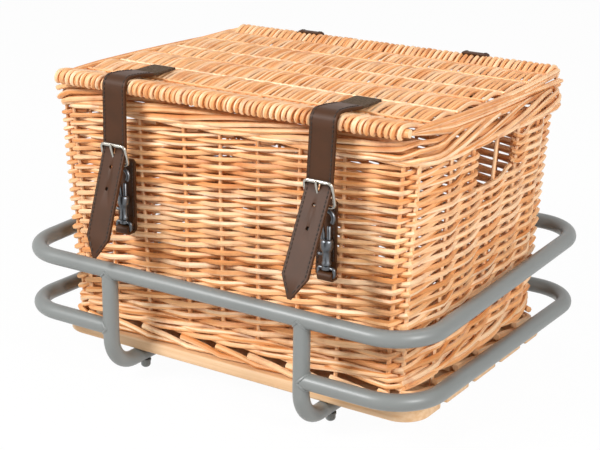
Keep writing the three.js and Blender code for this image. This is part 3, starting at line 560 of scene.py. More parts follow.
def stake_distance(count):
    """Distance along the wall of a place counted in stakes, with parts of a stake between them."""
    whole = math.floor(count)
    laps, index = divmod(whole, STAKE_COUNT)
    next_laps, next_index = divmod(whole + 1, STAKE_COUNT)
    here = STAKES[index] + laps * ROUND_TRIP
    there = STAKES[next_index] + next_laps * ROUND_TRIP
    return here + (there - here) * (count - whole)


def wall_place(distance, z, out=0.0):
    """The place at a distance along the wall and a height, out from the wall's middle."""
    rest = distance % ROUND_TRIP
    side = 0
    while rest > LENGTHS[side] and side < 7:
        rest -= LENGTHS[side]
        side += 1
    share = rest / LENGTHS[side]
    quarter = side // 2
    half = wall_half(z)
    reach, depth = (half.y, half.x) if quarter % 2 else (half.x, half.y)
    angle = quarter * math.pi / 2
    along = Vector((math.cos(angle), math.sin(angle), 0))
    outward = Vector((math.sin(angle), -math.cos(angle), 0))
    centre = Vector((0, MIDDLE_Y, z))
    run = reach - WALL_ROUND
    if side % 2:
        turn = share * math.pi / 2
        away = outward * math.cos(turn) + along * math.sin(turn)
        return centre + along * run + outward * (depth - WALL_ROUND) + away * (WALL_ROUND + out)
    return centre + along * run * (2 * share - 1) + outward * (depth + out)


def wander(rng, *sizes):
    """A slow wobble along a rod: a sum of waves with their own starts."""
    waves = [(size, rng.uniform(0.6, 2.3), rng.uniform(0, 2 * math.pi)) for size in sizes]
    return lambda at: sum(size * math.sin(rate * at + start) for size, rate, start in waves)


STEPS_PER_STAKE = 6
ROW_GRADE = 0.15                # how much higher the lowest rows are than the middle ones
FIRST_ROW = 14.5 * MM           # height of the lowest row over the wall's foot
NO_ROWS = 19.5 * MM             # height of the wall that the waling takes up
TUCK, HOLE_TUCK = 0.35, 0.05    # shares of a stake's spacing by which a weaver's end goes on behind it
HOLE_LIP = 5 * MM               # rows that come this far over the foot of a hand hole's stake stop there
WALE_SWING = 4.4 * MM           # how far a strand of the waling swings out and in
WALE_RISE = 2.5 * MM            # and up and down


def chord_place(at, z, out):
    """A place counted in stakes, on the straight line from one stake to the next."""
    whole = math.floor(at)
    here, there = (wall_place(stake_distance(stake), z, out) for stake in (whole, whole + 1))
    return here.lerp(there, at - whole)


def row_count(sizes):
    """Rows of weaving between the waling at the foot and the rim, an even number."""
    return int((WALL_HIGH.z - NO_ROWS - WALL_LOW.z) / sizes.row_pitch / 2) * 2


def row_z(sizes, row):
    """Height of a row: rods thin out towards their tips, and the rows get lower with them."""
    grade = 1 + ROW_GRADE * (1 - row / row_count(sizes))
    return WALL_LOW.z + FIRST_ROW + sizes.row_pitch * row * grade


def weaver_route(sizes, line, start, end, rng):
    """One weaver of a climbing line: a row up at each stake, in front of every second one, ends tucked in."""
    lift = wander(rng, 0.3 * MM, 0.25 * MM)
    swell = wander(rng, 0.04, 0.03)
    radius = sizes.weaver * rng.uniform(0.94, 1.06)
    rows = row_count(sizes)
    places = [start + step / STEPS_PER_STAKE for step in range(round((end - start) * STEPS_PER_STAKE) + 1)]
    if (start - line) % 2 == 0:
        places.insert(0, start - (HOLE_TUCK if start % STAKE_COUNT in HOLE_STAKES[1::2] else TUCK))
    if (end - line) % 2 == 0:
        places.append(end + (HOLE_TUCK if end % STAKE_COUNT in HOLE_STAKES[::2] else TUCK))
    route = []
    for at in places:
        row = at - line
        swing = -math.cos(math.pi * row) if start <= at <= end else -1.1
        thick = radius * (0.95 + 0.08 * swing * swing + swell(at)) * (1 + ROW_GRADE * (1 - 2 * row / rows))
        route.append((chord_place(at, row_z(sizes, row) + lift(at), sizes.weave_swing * swing), thick))
    return route


def turned_back(sizes, stake, z, heading):
    """The end of a weaver at a hand hole, wound from the front round the stake at the hole's edge."""
    distance = stake_distance(stake)
    reach = heading * (sizes.stake + sizes.weaver)
    route = []
    for angle in (35, 70, 105, 140, 180):
        turn = math.radians(angle)
        place = wall_place(distance + reach * math.sin(turn), z + sizes.row_pitch * angle / 360,
                           sizes.weave_swing * math.cos(turn))
        route.append((place, sizes.weaver * 0.9))
    for share in (2, 4):
        route.append((wall_place(distance - share * reach, z + sizes.row_pitch / 2, -sizes.weave_swing),
                      sizes.weaver * 0.85))
    return route


def line_runs(sizes, line):
    """The runs of a climbing line from the foot to the rim, without the hand holes that it meets."""
    hole_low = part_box("hand_stake_right")[0].z + HOLE_LIP
    top = line + row_count(sizes)
    runs = []
    start = line
    for lap in range(0, 3 * STAKE_COUNT, STAKE_COUNT):
        for before, after in (HOLE_STAKES[:2], HOLE_STAKES[2:]):
            if start < lap + before < top and row_z(sizes, lap + before + 1 - line) > hole_low:
                runs.append((start, lap + before))
                start = lap + after
    if start < top:
        runs.append((start, top))
    return runs


def wall_routes(sizes):
    """French randing from the waling at the foot to the rim: a line of weavers climbs from every stake."""
    rng = random.Random(11)
    routes = []
    for line in range(STAKE_COUNT):
        for first, last in line_runs(sizes, line):
            start = first
            while start < last:
                end = start + rng.choice((8, 10, 12))
                end += (end - line) % 2
                end = last if last - end < 6 else end
                route = weaver_route(sizes, line, start, end, rng)
                if start == first and (start - line) % 2:
                    route = turned_back(sizes, start, row_z(sizes, start - line), -1)[::-1] + route
                if end == last and (end - line) % 2:
                    route += turned_back(sizes, end, row_z(sizes, end - line), 1)
                routes.append(route)
                start = end
    return routes


def wale_routes(z, radius, rng):
    """A round of three rod waling: in front of two stakes, behind one, rising like the strands of a rope."""
    routes = []
    for strand in range(3):
        start = strand + 2 + 3 * rng.randrange(STAKE_COUNT // 3)
        for count in (12, 12, 9):
            thick = radius * rng.uniform(0.92, 1.06)
            lift = wander(rng, 0.4 * MM)
            route = []
            for step in range(count * STEPS_PER_STAKE + 2):
                at = start + step / STEPS_PER_STAKE
                turn = 2 * math.pi * ((at - strand) / 3 - 1 / 6)
                out = WALE_SWING * (0.2 + math.cos(turn))
                height = z + WALE_RISE * math.sin(turn) + lift(at)
                route.append((chord_place(at, height, out), thick))
            routes.append(route)
            start += count
    return routes


def stake_routes(sizes):
    """The upright stakes, from the deck to inside the top border."""
    rng = random.Random(5)
    routes = []
    for distance in STAKES:
        sway = wander(rng, 0.5 * MM)
        heights = [between(FOOT_LOW.z, RIM_LOW.z + 6 * MM, step / 12) for step in range(13)]
        routes.append([(wall_place(distance + sway(30 * z), z), sizes.stake * (1.12 - 0.9 * z))
                       for z in heights])
    return routes


BORDER_START, BORDER_TURN = -118, 258   # degrees at which a border rod starts, and that it then goes round
END_RISE = 3.5 * MM                     # how much the border is higher over the ends of the basket


def border_routes(sizes):
    """The rolled top border: each rod rises from below the rim's outside over its top to the inside."""
    rng = random.Random(23)
    half_height = (RIM_HIGH.z - RIM_LOW.z) / 2 - sizes.border_rod
    half_width = RIM_HIGH.x - RIM_HALF.x + WALL / 2 - sizes.border_rod
    routes = []
    for stake in range(STAKE_COUNT):
        radius = sizes.border_rod * rng.uniform(0.84, 1.08)
        lift = wander(rng, 0.8 * MM)
        begin = stake + rng.uniform(-0.1, 0.1)
        span = sizes.border_span + rng.uniform(-0.2, 0.2)
        route = [(wall_place(stake_distance(begin), RIM_LOW.z - 4 * MM, -1.5 * MM), sizes.stake)]
        steps = round(span * STEPS_PER_STAKE)
        for step in range(steps + 1):
            share = step / steps
            at = begin + 0.2 + share * span
            turn = math.radians(BORDER_START + BORDER_TURN * share)
            out = half_width * math.cos(turn) + lift(at)
            level = wall_place(stake_distance(at), RIM_Z)
            at_end = min(max(abs(level.x) / RIM_HALF.x - 0.78, 0.0) / 0.15, 1.0)
            height = RIM_Z + (half_height + END_RISE * at_end) * math.sin(turn) + lift(at + 4)
            route.append((wall_place(stake_distance(at), height, out), radius * (1.06 - 0.16 * share)))
        routes.append(route)
    return routes


def core_route(sizes):
    """The hidden rod that the border is rolled round."""
    places = [wall_place(stake_distance(step / 3), RIM_Z) for step in range(STAKE_COUNT * 3 + 1)]
    return [(place, 1.4 * sizes.border_rod) for place in places]


FOOT_RISE = 8.8 * MM            # height of a foot rod's cut end over its other end
FOOT_SPAN = 2.3                 # stakes that it passes


def foot_routes(sizes):
    """The foot border: each rod starts with a cut end under the waling and slopes down to the deck."""
    rng = random.Random(31)
    low = FOOT_LOW.z + sizes.foot_rod
    routes = []
    for stake in range(STAKE_COUNT):
        radius = sizes.foot_rod * rng.uniform(0.9, 1.05)
        top = low + FOOT_RISE + rng.uniform(-1, 1) * MM
        begin = stake - 0.12 + rng.uniform(-0.06, 0.06)
        route = []
        for step in range(15):
            share = step / 14
            at = begin + FOOT_SPAN * share
            drop = min(share / 0.5, 1.0)
            height = between(top, low, drop - 0.12 * math.sin(math.pi * drop))
            out = (5.2 - 0.2 * drop - 10 * max(share - 0.5, 0.0)) * MM
            route.append((wall_place(stake_distance(at), height, out), radius * (1 - 0.2 * share)))
        routes.append(route)
    return routes


BASE_OVER = 4 * MM              # how far the base's rods go on into the wall
BASE_RIBS = 6
BASE_RIB = 3 * MM               # radius
BASE_PITCH = 7.5 * MM
BASE_WEAVER = 2.6 * MM          # radius, and how far a weaver swings over and under the ribs


def base_routes():
    """The base, a plain weave: ribs along X, weavers along Y over and under them."""
    rng = random.Random(41)
    z = (BASE_LOW.z + BASE_HIGH.z) / 2
    low_x, high_x = BASE_LOW.x - BASE_OVER, BASE_HIGH.x + BASE_OVER
    low_y, high_y = BASE_LOW.y - BASE_OVER, BASE_HIGH.y + BASE_OVER
    gaps = BASE_RIBS + 1
    routes = []
    for index in range(BASE_RIBS):
        y = between(low_y, high_y, (index + 1) / gaps)
        lift = wander(rng, 0.6 * MM)
        routes.append([(Vector((between(low_x, high_x, step / 24), y + lift(step / 3), z)), BASE_RIB)
                       for step in range(25)])
    count = int((high_x - low_x) / BASE_PITCH)
    for index in range(count):
        x = between(low_x, high_x, (index + 0.5) / count)
        radius = BASE_WEAVER * rng.uniform(0.92, 1.08)
        route = []
        for step in range(gaps * 5 + 1):
            swung = BASE_WEAVER * math.cos(math.pi * (step / 5 + index))
            route.append((Vector((x, between(low_y, high_y, step / (gaps * 5)), z + swung)), radius))
        routes.append(route)
    return routes


# The lid

LID_LINES = (0.14, 0.30, 0.47, 0.61, 0.79, 0.93)    # share of the way from the front stick to the back one
LID_SINK = 2.2 * MM             # how far the rods are pulled down where they are tied
LID_BOW = 4.8 * MM              # how far they rise between the ties
LID_OVER = 7 * MM               # how far the rods go on over the bundles at the lid's ends
LID_X = (LID_LOW.x - LID_OVER, LID_HIGH.x + LID_OVER)
LID_EDGE = 8 * MM               # half the thickness of the front and back edges
LID_DRIFT = 0.7                 # share of their spacing by which the rods go sideways round a stick


def lid_rod_count(sizes):
    """How many rods lie across the lid."""
    return int((LID_X[1] - LID_X[0]) / sizes.lid_weaver_pitch)


def wound(x, y, radius, first, drift, last_drift):
    """Places round one of the lid's sticks, from an angle on, going sideways from one drift to another."""
    places = []
    for step in range(11):
        turn = math.radians(first - 24 * step)
        places.append(Vector((x + between(drift, last_drift, step / 10), y + radius * math.cos(turn),
                              LID_Z + radius * math.sin(turn))))
    return places


def lid_routes(sizes):
    """The lid's rods, each wound round the front stick, laid to the back one and wound round it."""
    rng = random.Random(47)
    turn_radius = LID_EDGE - sizes.lid_weaver
    line_ys = [between(LID_FRONT, LID_BACK, share) for share in (0, *LID_LINES, 1)]
    count = lid_rod_count(sizes)
    pitch = (LID_X[1] - LID_X[0]) / count
    routes = []
    for index in range(count):
        x = LID_X[0] + pitch * (index + 0.5) + rng.uniform(-0.6, 0.6) * MM
        radius = sizes.lid_weaver * rng.uniform(0.8, 1.06)
        nudges = [0.0, *(rng.uniform(-1.3, 1.3) * MM for _ in LID_LINES), 0.0]
        levels = [turn_radius, *(rng.uniform(-0.4, 0.4) * MM - LID_SINK for _ in LID_LINES), turn_radius]
        bows = [0.0, *(LID_BOW * rng.uniform(0.8, 1.1) for _ in LID_LINES[1:]), 0.0]
        places = wound(x, LID_FRONT, turn_radius, -30, -LID_DRIFT * pitch, 0.0)
        for gap in range(len(line_ys) - 1):
            for step in range(0 if gap else 1, 6):
                share = step / 6
                ease = (1 - math.cos(math.pi * share)) / 2
                bow = bows[gap] * math.sin(math.pi * share ** 1.3)
                places.append(Vector((x + between(nudges[gap], nudges[gap + 1], ease),
                                      between(line_ys[gap], line_ys[gap + 1], share),
                                      LID_Z + between(levels[gap], levels[gap + 1], ease) + bow)))
        places += wound(x, LID_BACK, turn_radius, 90, 0.0, LID_DRIFT * pitch)
        routes.append([(place, radius) for place in places])
    return routes


def twine_routes(sizes):
    """Pairs of thin rods tied along the lid, one on top of its rods and one under them."""
    rng = random.Random(53)
    count = lid_rod_count(sizes)
    steps = 4 * count
    reach = sizes.lid_weaver + 0.45 * sizes.lid_twine
    routes = []
    for line in LID_LINES:
        y = between(LID_FRONT, LID_BACK, line)
        for sign in (-1, 1):
            sway = wander(rng, 0.8 * MM, 0.5 * MM)
            radius = sizes.lid_twine * rng.uniform(0.9, 1.1)
            route = []
            for step in range(steps + 1):
                rod = count * step / steps - 0.5
                z = LID_Z - LID_SINK + sign * (reach - 0.5 * MM * math.sin(math.pi * rod) ** 2)
                route.append((Vector((between(*LID_X, step / steps), y + sway(rod / 6), z)), radius))
            routes.append(route)
    return routes


END_RODS = 11


def end_routes(sizes, side):
    """Loose rods along one end of the lid: pointed together at the front, crossing and bowed further back."""
    sign = SIDE_SIGNS[side]
    rng = random.Random(59 + sign)
    middle = middle_of(f"lid_end_{side}")
    ladder = [2 * index / (END_RODS - 1) - 1 for index in range(END_RODS)]
    heights, last_heights, sides, last_sides = (rng.sample(ladder, END_RODS) for _ in range(4))
    routes = []
    for index in range(END_RODS):
        start = LID_FRONT + (3 + rng.uniform(0, 4) * index) * MM
        end = LID_BACK + rng.uniform(-9, 6) * MM
        radius = sizes.end_rod * rng.uniform(0.88, 1.08)
        route = []
        for step in range(33):
            y = between(start, end, step / 32)
            share = (y - LID_FRONT) / (LID_BACK - LID_FRONT)
            opened = min(share / 0.22, 1.0)
            height = between(heights[index], last_heights[index], share)
            aside = between(sides[index], last_sides[index], share)
            x = middle.x + sign * (1 + 7 * math.sin(math.pi * share)) * MM + aside * (1.5 + 4 * opened) * MM
            z = LID_Z - (0.5 + 4.4 * opened) * MM + height * (1 + 6.6 * opened) * MM
            taper = min(1.0, 0.3 + (y - start) / (35 * MM), 0.7 + (end - y) / (25 * MM))
            route.append((Vector((x, y, z)), radius * taper))
        routes.append(route)
    return routes


def stick_route(sizes, node):
    """A stick inside the lid's front or back edge, with its ends showing."""
    low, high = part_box(node)
    y = (low.y + high.y) / 2
    return [(Vector((between(low.x + 1 * MM, high.x - 1 * MM, step / 8), y, LID_Z)), sizes.lid_stick)
            for step in range(9)]


# Leather that follows a middle line

class Ribbon:
    """A middle line in the YZ plane, on which a flat leather pattern is laid."""

    def __init__(self, x, route, outer):
        self.x = x
        self.route = route
        self.outer = outer
        self.marks = [0.0]
        for before, after in zip(route, route[1:]):
            self.marks.append(self.marks[-1] + (after - before).length)

    @property
    def length(self):
        """Length of the whole leather."""
        return self.marks[-1]

    def place(self, along, across, lift=0.0):
        """Where a point of the pattern lies, lifted off the middle line to the outside."""
        index = 0
        while index < len(self.marks) - 2 and along > self.marks[index + 1]:
            index += 1
        before, after = self.route[index], self.route[index + 1]
        run = self.marks[index + 1] - self.marks[index]
        share = (along - self.marks[index]) / run
        heading = (after - before).normalized()
        if 0 < share < 1:
            behind = (before - self.route[max(index - 1, 0)]) or heading
            ahead = (self.route[min(index + 2, len(self.route) - 1)] - after) or heading
            start = (behind.normalized() + heading).normalized()
            end = (ahead.normalized() + heading).normalized()
            heading = start.lerp(end, share).normalized()
        outward = Vector((0, heading.z, -heading.y)) * self.outer
        middle = before + (after - before) * share
        return Vector((self.x + across, middle.y, middle.z)) + outward * lift


def circle_points(along, radius, count=16):
    """A round hole in the strap's middle."""
    angles = [2 * math.pi * step / count for step in range(count)]
    return [(along + radius * math.cos(angle), radius * math.sin(angle)) for angle in angles]


def slot_points(start, end, radius, count=8):
    """A slot with round ends along the strap's middle."""
    points = []
    for centre, turn in ((end, -math.pi / 2), (start, math.pi / 2)):
        for step in range(count + 1):
            angle = turn + math.pi * step / count
            points.append((centre + radius * math.cos(angle), radius * math.sin(angle)))
    return points


def rectangle(start, end, half):
    """A straight piece of leather, by its ends and its half width."""
    return [(start, -half), (end, -half), (end, half), (start, half)]


def leather_mesh(ribbon, outline, holes=(), thickness=LEATHER):
    """A flat leather pattern with holes, bent along a ribbon and given its thickness and eased edges."""
    bm = bmesh.new()
    for points in (outline, *holes):
        ring = [bm.verts.new((along, across, 0)) for along, across in points]
        for index, vert in enumerate(ring):
            bm.edges.new((ring[index - 1], vert))
    bmesh.ops.triangle_fill(bm, use_beauty=True, edges=bm.edges[:])
    widths = [across for along, across in outline]
    cuts = [((mark, 0, 0), (1, 0, 0)) for mark in ribbon.marks[1:-1]]
    cuts += [((0, width * share, 0), (0, 1, 0))
             for width in (min(widths), max(widths)) for share in (0.9, 0.45)]
    for place, across in cuts:
        bmesh.ops.bisect_plane(bm, geom=bm.verts[:] + bm.edges[:] + bm.faces[:], plane_co=place,
                               plane_no=across)
    for vert in bm.verts:
        vert.co = ribbon.place(vert.co.x, vert.co.y)
    solid = evaluated(
        mesh_of(bm), ("SOLIDIFY", {"thickness": thickness, "offset": 0.0, "use_even_offset": True}),
        ("BEVEL", {"width": 0.5 * MM, "segments": 2, "limit_method": "ANGLE",
                   "angle_limit": math.radians(55)}))
    # The leather's bends stay smooth, and its eased edges don't shade its faces
    return smooth(solid, 25)


def edge_runs(sizes, half, start, end):
    """Runs of stitches along both edges of a leather."""
    edge = half - sizes.stitch_inset
    return [(start, end, sign * edge, sign * edge) for sign in (-1, 1)]


def stitch_routes(sizes, ribbon, runs):
    """Stitches on a leather along runs of (start, end, across at the start, across at the end)."""
    routes = []
    for start, end, first, last in runs:
        count = max(int(abs(end - start) / sizes.stitch), 1)
        for index in range(count):
            route = []
            for part, rise in ((0.12, 0.0), (0.31, 0.3), (0.62, 0.3), (0.8, 0.0)):
                share = (index + part) / count
                along, across = between(start, end, share), between(first, last, share)
                route.append((ribbon.place(along, across, LEATHER / 2 + rise * MM), 0.5 * MM))
            routes.append(route)
    return routes


# From the fold at the lid's edge to the bend, from there to the point, the tail's lean in degrees, how far
# the bend hangs out from the lid's edge, and how far the buckle's bar is over the CAD's
STRAP_MEASURES = {
    "left": {"to_bend": 58 * MM, "tail": 109 * MM, "lean": 19, "hang": 1 * MM, "bar_up": 0.0},
    "right": {"to_bend": 54 * MM, "tail": 105 * MM, "lean": 27, "hang": 4 * MM, "bar_up": 4 * MM},
}
STRAP_BEND = 34 * MM            # radius
STRAP_POINT = 22 * MM           # length of the point
STRAP_HOLES = (18 * MM, 39.5 * MM)  # from the bend
STRAP_ROUGH = 34 * MM           # length of the rough end on the lid
STRAP_SHORT = 12 * MM           # by how much it ends before the CAD's
HOLE_RADIUS = 1.9 * MM
SLOT_RADIUS = 1.6 * MM
LID_ROUND = 9.8 * MM            # middle of the leather round the lid's sticks
LID_TOP = LID_Z + LID_ROUND
FOLD_Z = LID_Z - 1.8 * MM       # height at which straps and hinges fold


def strap_route(side):
    """From the kinked end on the lid, over its front stick, behind the buckle bar, to the leaning point."""
    face = LID_FRONT - LID_ROUND
    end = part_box(f"strap_{side}_on_lid")[1].y - STRAP_SHORT
    measures = STRAP_MEASURES[side]
    lean = math.radians(measures["lean"])
    bend = yz(face - measures["hang"], FOLD_Z - measures["to_bend"])
    tip = bend - yz(math.sin(lean), math.cos(lean)) * measures["tail"]
    on_lid = bent_route([
        yz(end, LID_TOP - 2.8 * MM), yz(end - 30 * MM, LID_TOP - 3.2 * MM),
        yz(LID_FRONT + 12 * MM, LID_TOP - 0.4 * MM), yz(LID_FRONT + 5 * MM, LID_TOP)], 14 * MM, steps=5)
    over = bent_route([yz(LID_FRONT + 4 * MM, LID_TOP), yz(face, LID_TOP), yz(face, LID_Z)], LID_ROUND,
                      steps=10)
    hanging = bent_route([yz(face, LID_Z - 6 * MM), bend, tip], STRAP_BEND, steps=10)
    return on_lid[:-1] + over[1:] + hanging


# Operators

class BASKET_OT_carrier(bpy.types.Operator):
    """Bends the carrier's painted rails and hoops, with their welds"""

    bl_idname = "basket.carrier"
    bl_label = "Carrier"

    def execute(self, context):
        low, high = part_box("upper_rail")
        x, front, back = high.x - TUBE_RADIUS, low.y + TUBE_RADIUS, high.y - TUBE_RADIUS
        front_z, back_z = low.z + TUBE_RADIUS, high.z - TUBE_RADIUS
        corners = [Vector((x, front, front_z)), Vector((x, back, back_z)),
                   Vector((-x, back, back_z)), Vector((-x, front, front_z))]
        rail = tube(bent_route(corners, RAIL_CORNER, 12, closed=True), TUBE_RADIUS, 40, True)
        add_piece("upper_rail_tube", "paint", "basket", ["upper_rail"], rail)
        for side, sign in SIDE_SIGNS.items():
            hoop_x = middle_of(f"hoop_{side}").x
            lower_low, lower_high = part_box(f"lower_rail_{side}")
            lower_front, lower_back = lower_high.z - TUBE_RADIUS, lower_low.z + TUBE_RADIUS
            bow = bent_route([
                Vector((hoop_x, front, lower_front)), Vector((sign * x, front, lower_front)),
                Vector((sign * x, back, lower_back)), Vector((hoop_x, back, lower_back))], RAIL_CORNER, 12)
            lower = tube(bow, TUBE_RADIUS, 40)
            add_piece(f"lower_rail_tube_{side}", "paint", "basket", [f"lower_rail_{side}"], lower)
            hoop_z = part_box(f"hoop_{side}")[0].z + TUBE_RADIUS
            shape = bent_route([
                Vector((hoop_x, front, front_z)), Vector((hoop_x, front, hoop_z)),
                Vector((hoop_x, back, hoop_z)), Vector((hoop_x, back, back_z))], HOOP_BEND, 12)
            beads = []
            for y, top, level in ((front, front_z, lower_front), (back, back_z, lower_back)):
                beads.append([(place, WELD) for place in self.saddle(hoop_x, y, top)])
                beads.append([(place, WELD) for place in self.collar(hoop_x, y, level, sign)])
            add_piece(f"hoop_tube_{side}", "paint", "basket", [f"hoop_{side}"], tube(shape, TUBE_RADIUS, 40),
                      rods(beads, 8, closed=True))
        return {"FINISHED"}

    @staticmethod
    def saddle(x, y, z):
        """Where an upright tube meets a rail along X above it."""
        angles = [2 * math.pi * step / 40 for step in range(40)]
        return [Vector((x + TUBE_RADIUS * math.cos(a), y + TUBE_RADIUS * math.sin(a),
                        z - TUBE_RADIUS * abs(math.cos(a)))) for a in angles]

    @staticmethod
    def collar(x, y, z, sign):
        """Where a rail along X meets an upright tube beside it."""
        angles = [2 * math.pi * step / 40 for step in range(40)]
        return [Vector((x + sign * TUBE_RADIUS * abs(math.cos(a)), y + TUBE_RADIUS * math.sin(a),
                        z + TUBE_RADIUS * math.cos(a))) for a in angles]


class BASKET_OT_deck(bpy.types.Operator):
    """Planes the slats of the deck and adds its bolts and domed nuts"""

    bl_idname = "basket.deck"
    bl_label = "Deck"

    def execute(self, context):
        slats = []
        nodes = [f"slat_{number}" for number in range(1, 6)]
        for node in nodes:
            low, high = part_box(node)
            rounded = {"slat_1": (-1,), "slat_5": (1,)}.get(node, ())
            slats.append(board(low, high, DECK_CORNER, rounded, 2 * MM))
        add_piece("deck_slats", "beech", "basket", nodes, *slats)
        for side in SIDE_SIGNS:
            for end in ("front", "back"):
                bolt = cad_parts[f"deck_bolt_{end}_{side}"].data
                bolt.materials.clear()
                bolt.materials.append(finish("zinc"))
                self.nut(f"deck_nut_{end}_{side}")
        return {"FINISHED"}

    @staticmethod
    def nut(node):
        """A domed nut that the carrier stands on."""
        low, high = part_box(node)
        centre = (low + high) / 2
        radius = (high.x - low.x) / 2 / MM
        height = (high.z - low.z) / MM
        angles = [math.pi / 2 * step / 8 for step in range(3, 9)]
        dome = [(radius * math.sin(angle), radius * 0.75 * (1 - math.cos(angle))) for angle in angles]
        rim = radius * 1.12
        profile = [(0, 0), *dome, (radius, height - 2), (rim, height - 1.8), (rim, height), (0, height)]
        mesh = turned(profile, Vector((centre.x, centre.y, low.z)))
        add_piece(f"domed_{node}", "paint", "basket", [node], mesh)


class BASKET_OT_walls(bpy.types.Operator):
    """Weaves the walls round their stakes, with a hand hole in each end"""

    bl_idname = "basket.walls"
    bl_label = "Walls"

    def execute(self, context):
        sizes = context.scene.basket_sizes
        corners = [f"corner_{end}_{side}" for end in ("front", "back") for side in SIDE_SIGNS]
        walls = ["wall_front", "wall_back", "wall_left", "wall_right"]
        add_piece("wall_weave", "willow", "basket", walls + corners, rods(wall_routes(sizes)))
        add_piece("wall_stakes", "willow", "basket", ["hand_stake_left", "hand_stake_right"],
                  rods(stake_routes(sizes), 8))
        return {"FINISHED"}


class BASKET_OT_borders(bpy.types.Operator):
    """Rolls the top border, wales the wall's edges, lays the foot border on the deck and weaves the base"""

    bl_idname = "basket.borders"
    bl_label = "Borders"

    def execute(self, context):
        sizes = context.scene.basket_sizes
        rng = random.Random(17)
        top = border_routes(sizes) + [core_route(sizes)] + wale_routes(WALL_HIGH.z + 0.5 * MM, 2.2 * MM, rng)
        add_piece("top_border", "willow", "basket", ["rim_border"], rods(top, 8))
        foot = foot_routes(sizes)
        for height in (2.4, 9):
            foot += wale_routes(WALL_LOW.z + height * MM, 2.5 * MM, rng)
        add_piece("foot_border_rods", "willow", "basket", ["foot_border"], rods(foot, 8))
        add_piece("woven_base", "willow", "basket", ["basket_base"], rods(base_routes()))
        return {"FINISHED"}


class BASKET_OT_lid(bpy.types.Operator):
    """Weaves the lid between its sticks and bundles the rods along its ends"""

    bl_idname = "basket.lid"
    bl_label = "Lid"

    def execute(self, context):
        sizes = context.scene.basket_sizes
        weave = lid_routes(sizes) + twine_routes(sizes)
        add_piece("lid_weave", "willow", "lid", ["lid_panel"], rods(weave, 8))
        for end in ("front", "back"):
            node = f"lid_{end}_stick"
            add_piece(f"lid_{end}_edge", "willow", "lid", [node], rods([stick_route(sizes, node)], 16))
        for side in SIDE_SIGNS:
            bundle = rods(end_routes(sizes, side), 8)
            add_piece(f"lid_end_rods_{side}", "willow", "lid", [f"lid_end_{side}"], bundle)
        return {"FINISHED"}


class BASKET_OT_straps(bpy.types.Operator):
    """Cuts, bends and stitches the two leather straps"""

    bl_idname = "basket.straps"
    bl_label = "Straps"

    def execute(self, context):
        sizes = context.scene.basket_sizes
        for side in SIDE_SIGNS:
            x = middle_of(f"strap_{side}_hanging").x
            ribbon = Ribbon(x, strap_route(side), 1)
            half = sizes.strap_width / 2
            whole = ribbon.length
            bend = whole - STRAP_MEASURES[side]["tail"]
            shoulder = whole - STRAP_POINT
            tip = whole - 1.5 * MM
            outline = [(STRAP_ROUGH, -half), (shoulder, -half), (tip, -1.2 * MM), (tip, 1.2 * MM),
                       (shoulder, half), (STRAP_ROUGH, half)]
            holes = [circle_points(bend + hole, HOLE_RADIUS) for hole in STRAP_HOLES]
            holes.append(slot_points(bend - 1 * MM, bend + 4 * MM, SLOT_RADIUS))
            fold = LID_FRONT - LID_ROUND
            start, end = Vector((x, fold, LID_Z + 3 * MM)), Vector((x, fold, LID_Z - 7 * MM))
            across = ("lid", f"strap_{side}", start, end)
            add_piece(f"leather_strap_{side}", "leather", across,
                      [f"strap_{side}_hanging", f"strap_{side}_on_lid"], leather_mesh(ribbon, outline, holes))
            patch = rectangle(0.0, STRAP_ROUGH + 0.2 * MM, half)
            add_piece(f"strap_end_{side}", "flesh", "lid", (),
                      leather_mesh(ribbon, patch, thickness=LEATHER - 0.4 * MM))
            runs = edge_runs(sizes, half, STRAP_ROUGH + 3 * MM, shoulder)
            edge = half - sizes.stitch_inset
            runs += [(shoulder, whole - 6 * MM, sign * edge, sign * 1.6 * MM) for sign in (-1, 1)]
            # A short dark plug in the thread's colour closes the second hole from behind: painted shade for
            # the dark space behind the strap. The prong swings through the first hole, so only the second one
            # is closed behind
            painted_shade_plug = [(ribbon.place(bend + STRAP_HOLES[1], 0, -LEATHER / 2 * depth), 2.4 * MM)
                      for depth in (1.0, 0.6)]
            thread = rods(stitch_routes(sizes, ribbon, runs) + [painted_shade_plug], 8)
            add_piece(f"strap_stitches_{side}", "thread", across, (), thread)
        return {"FINISHED"}


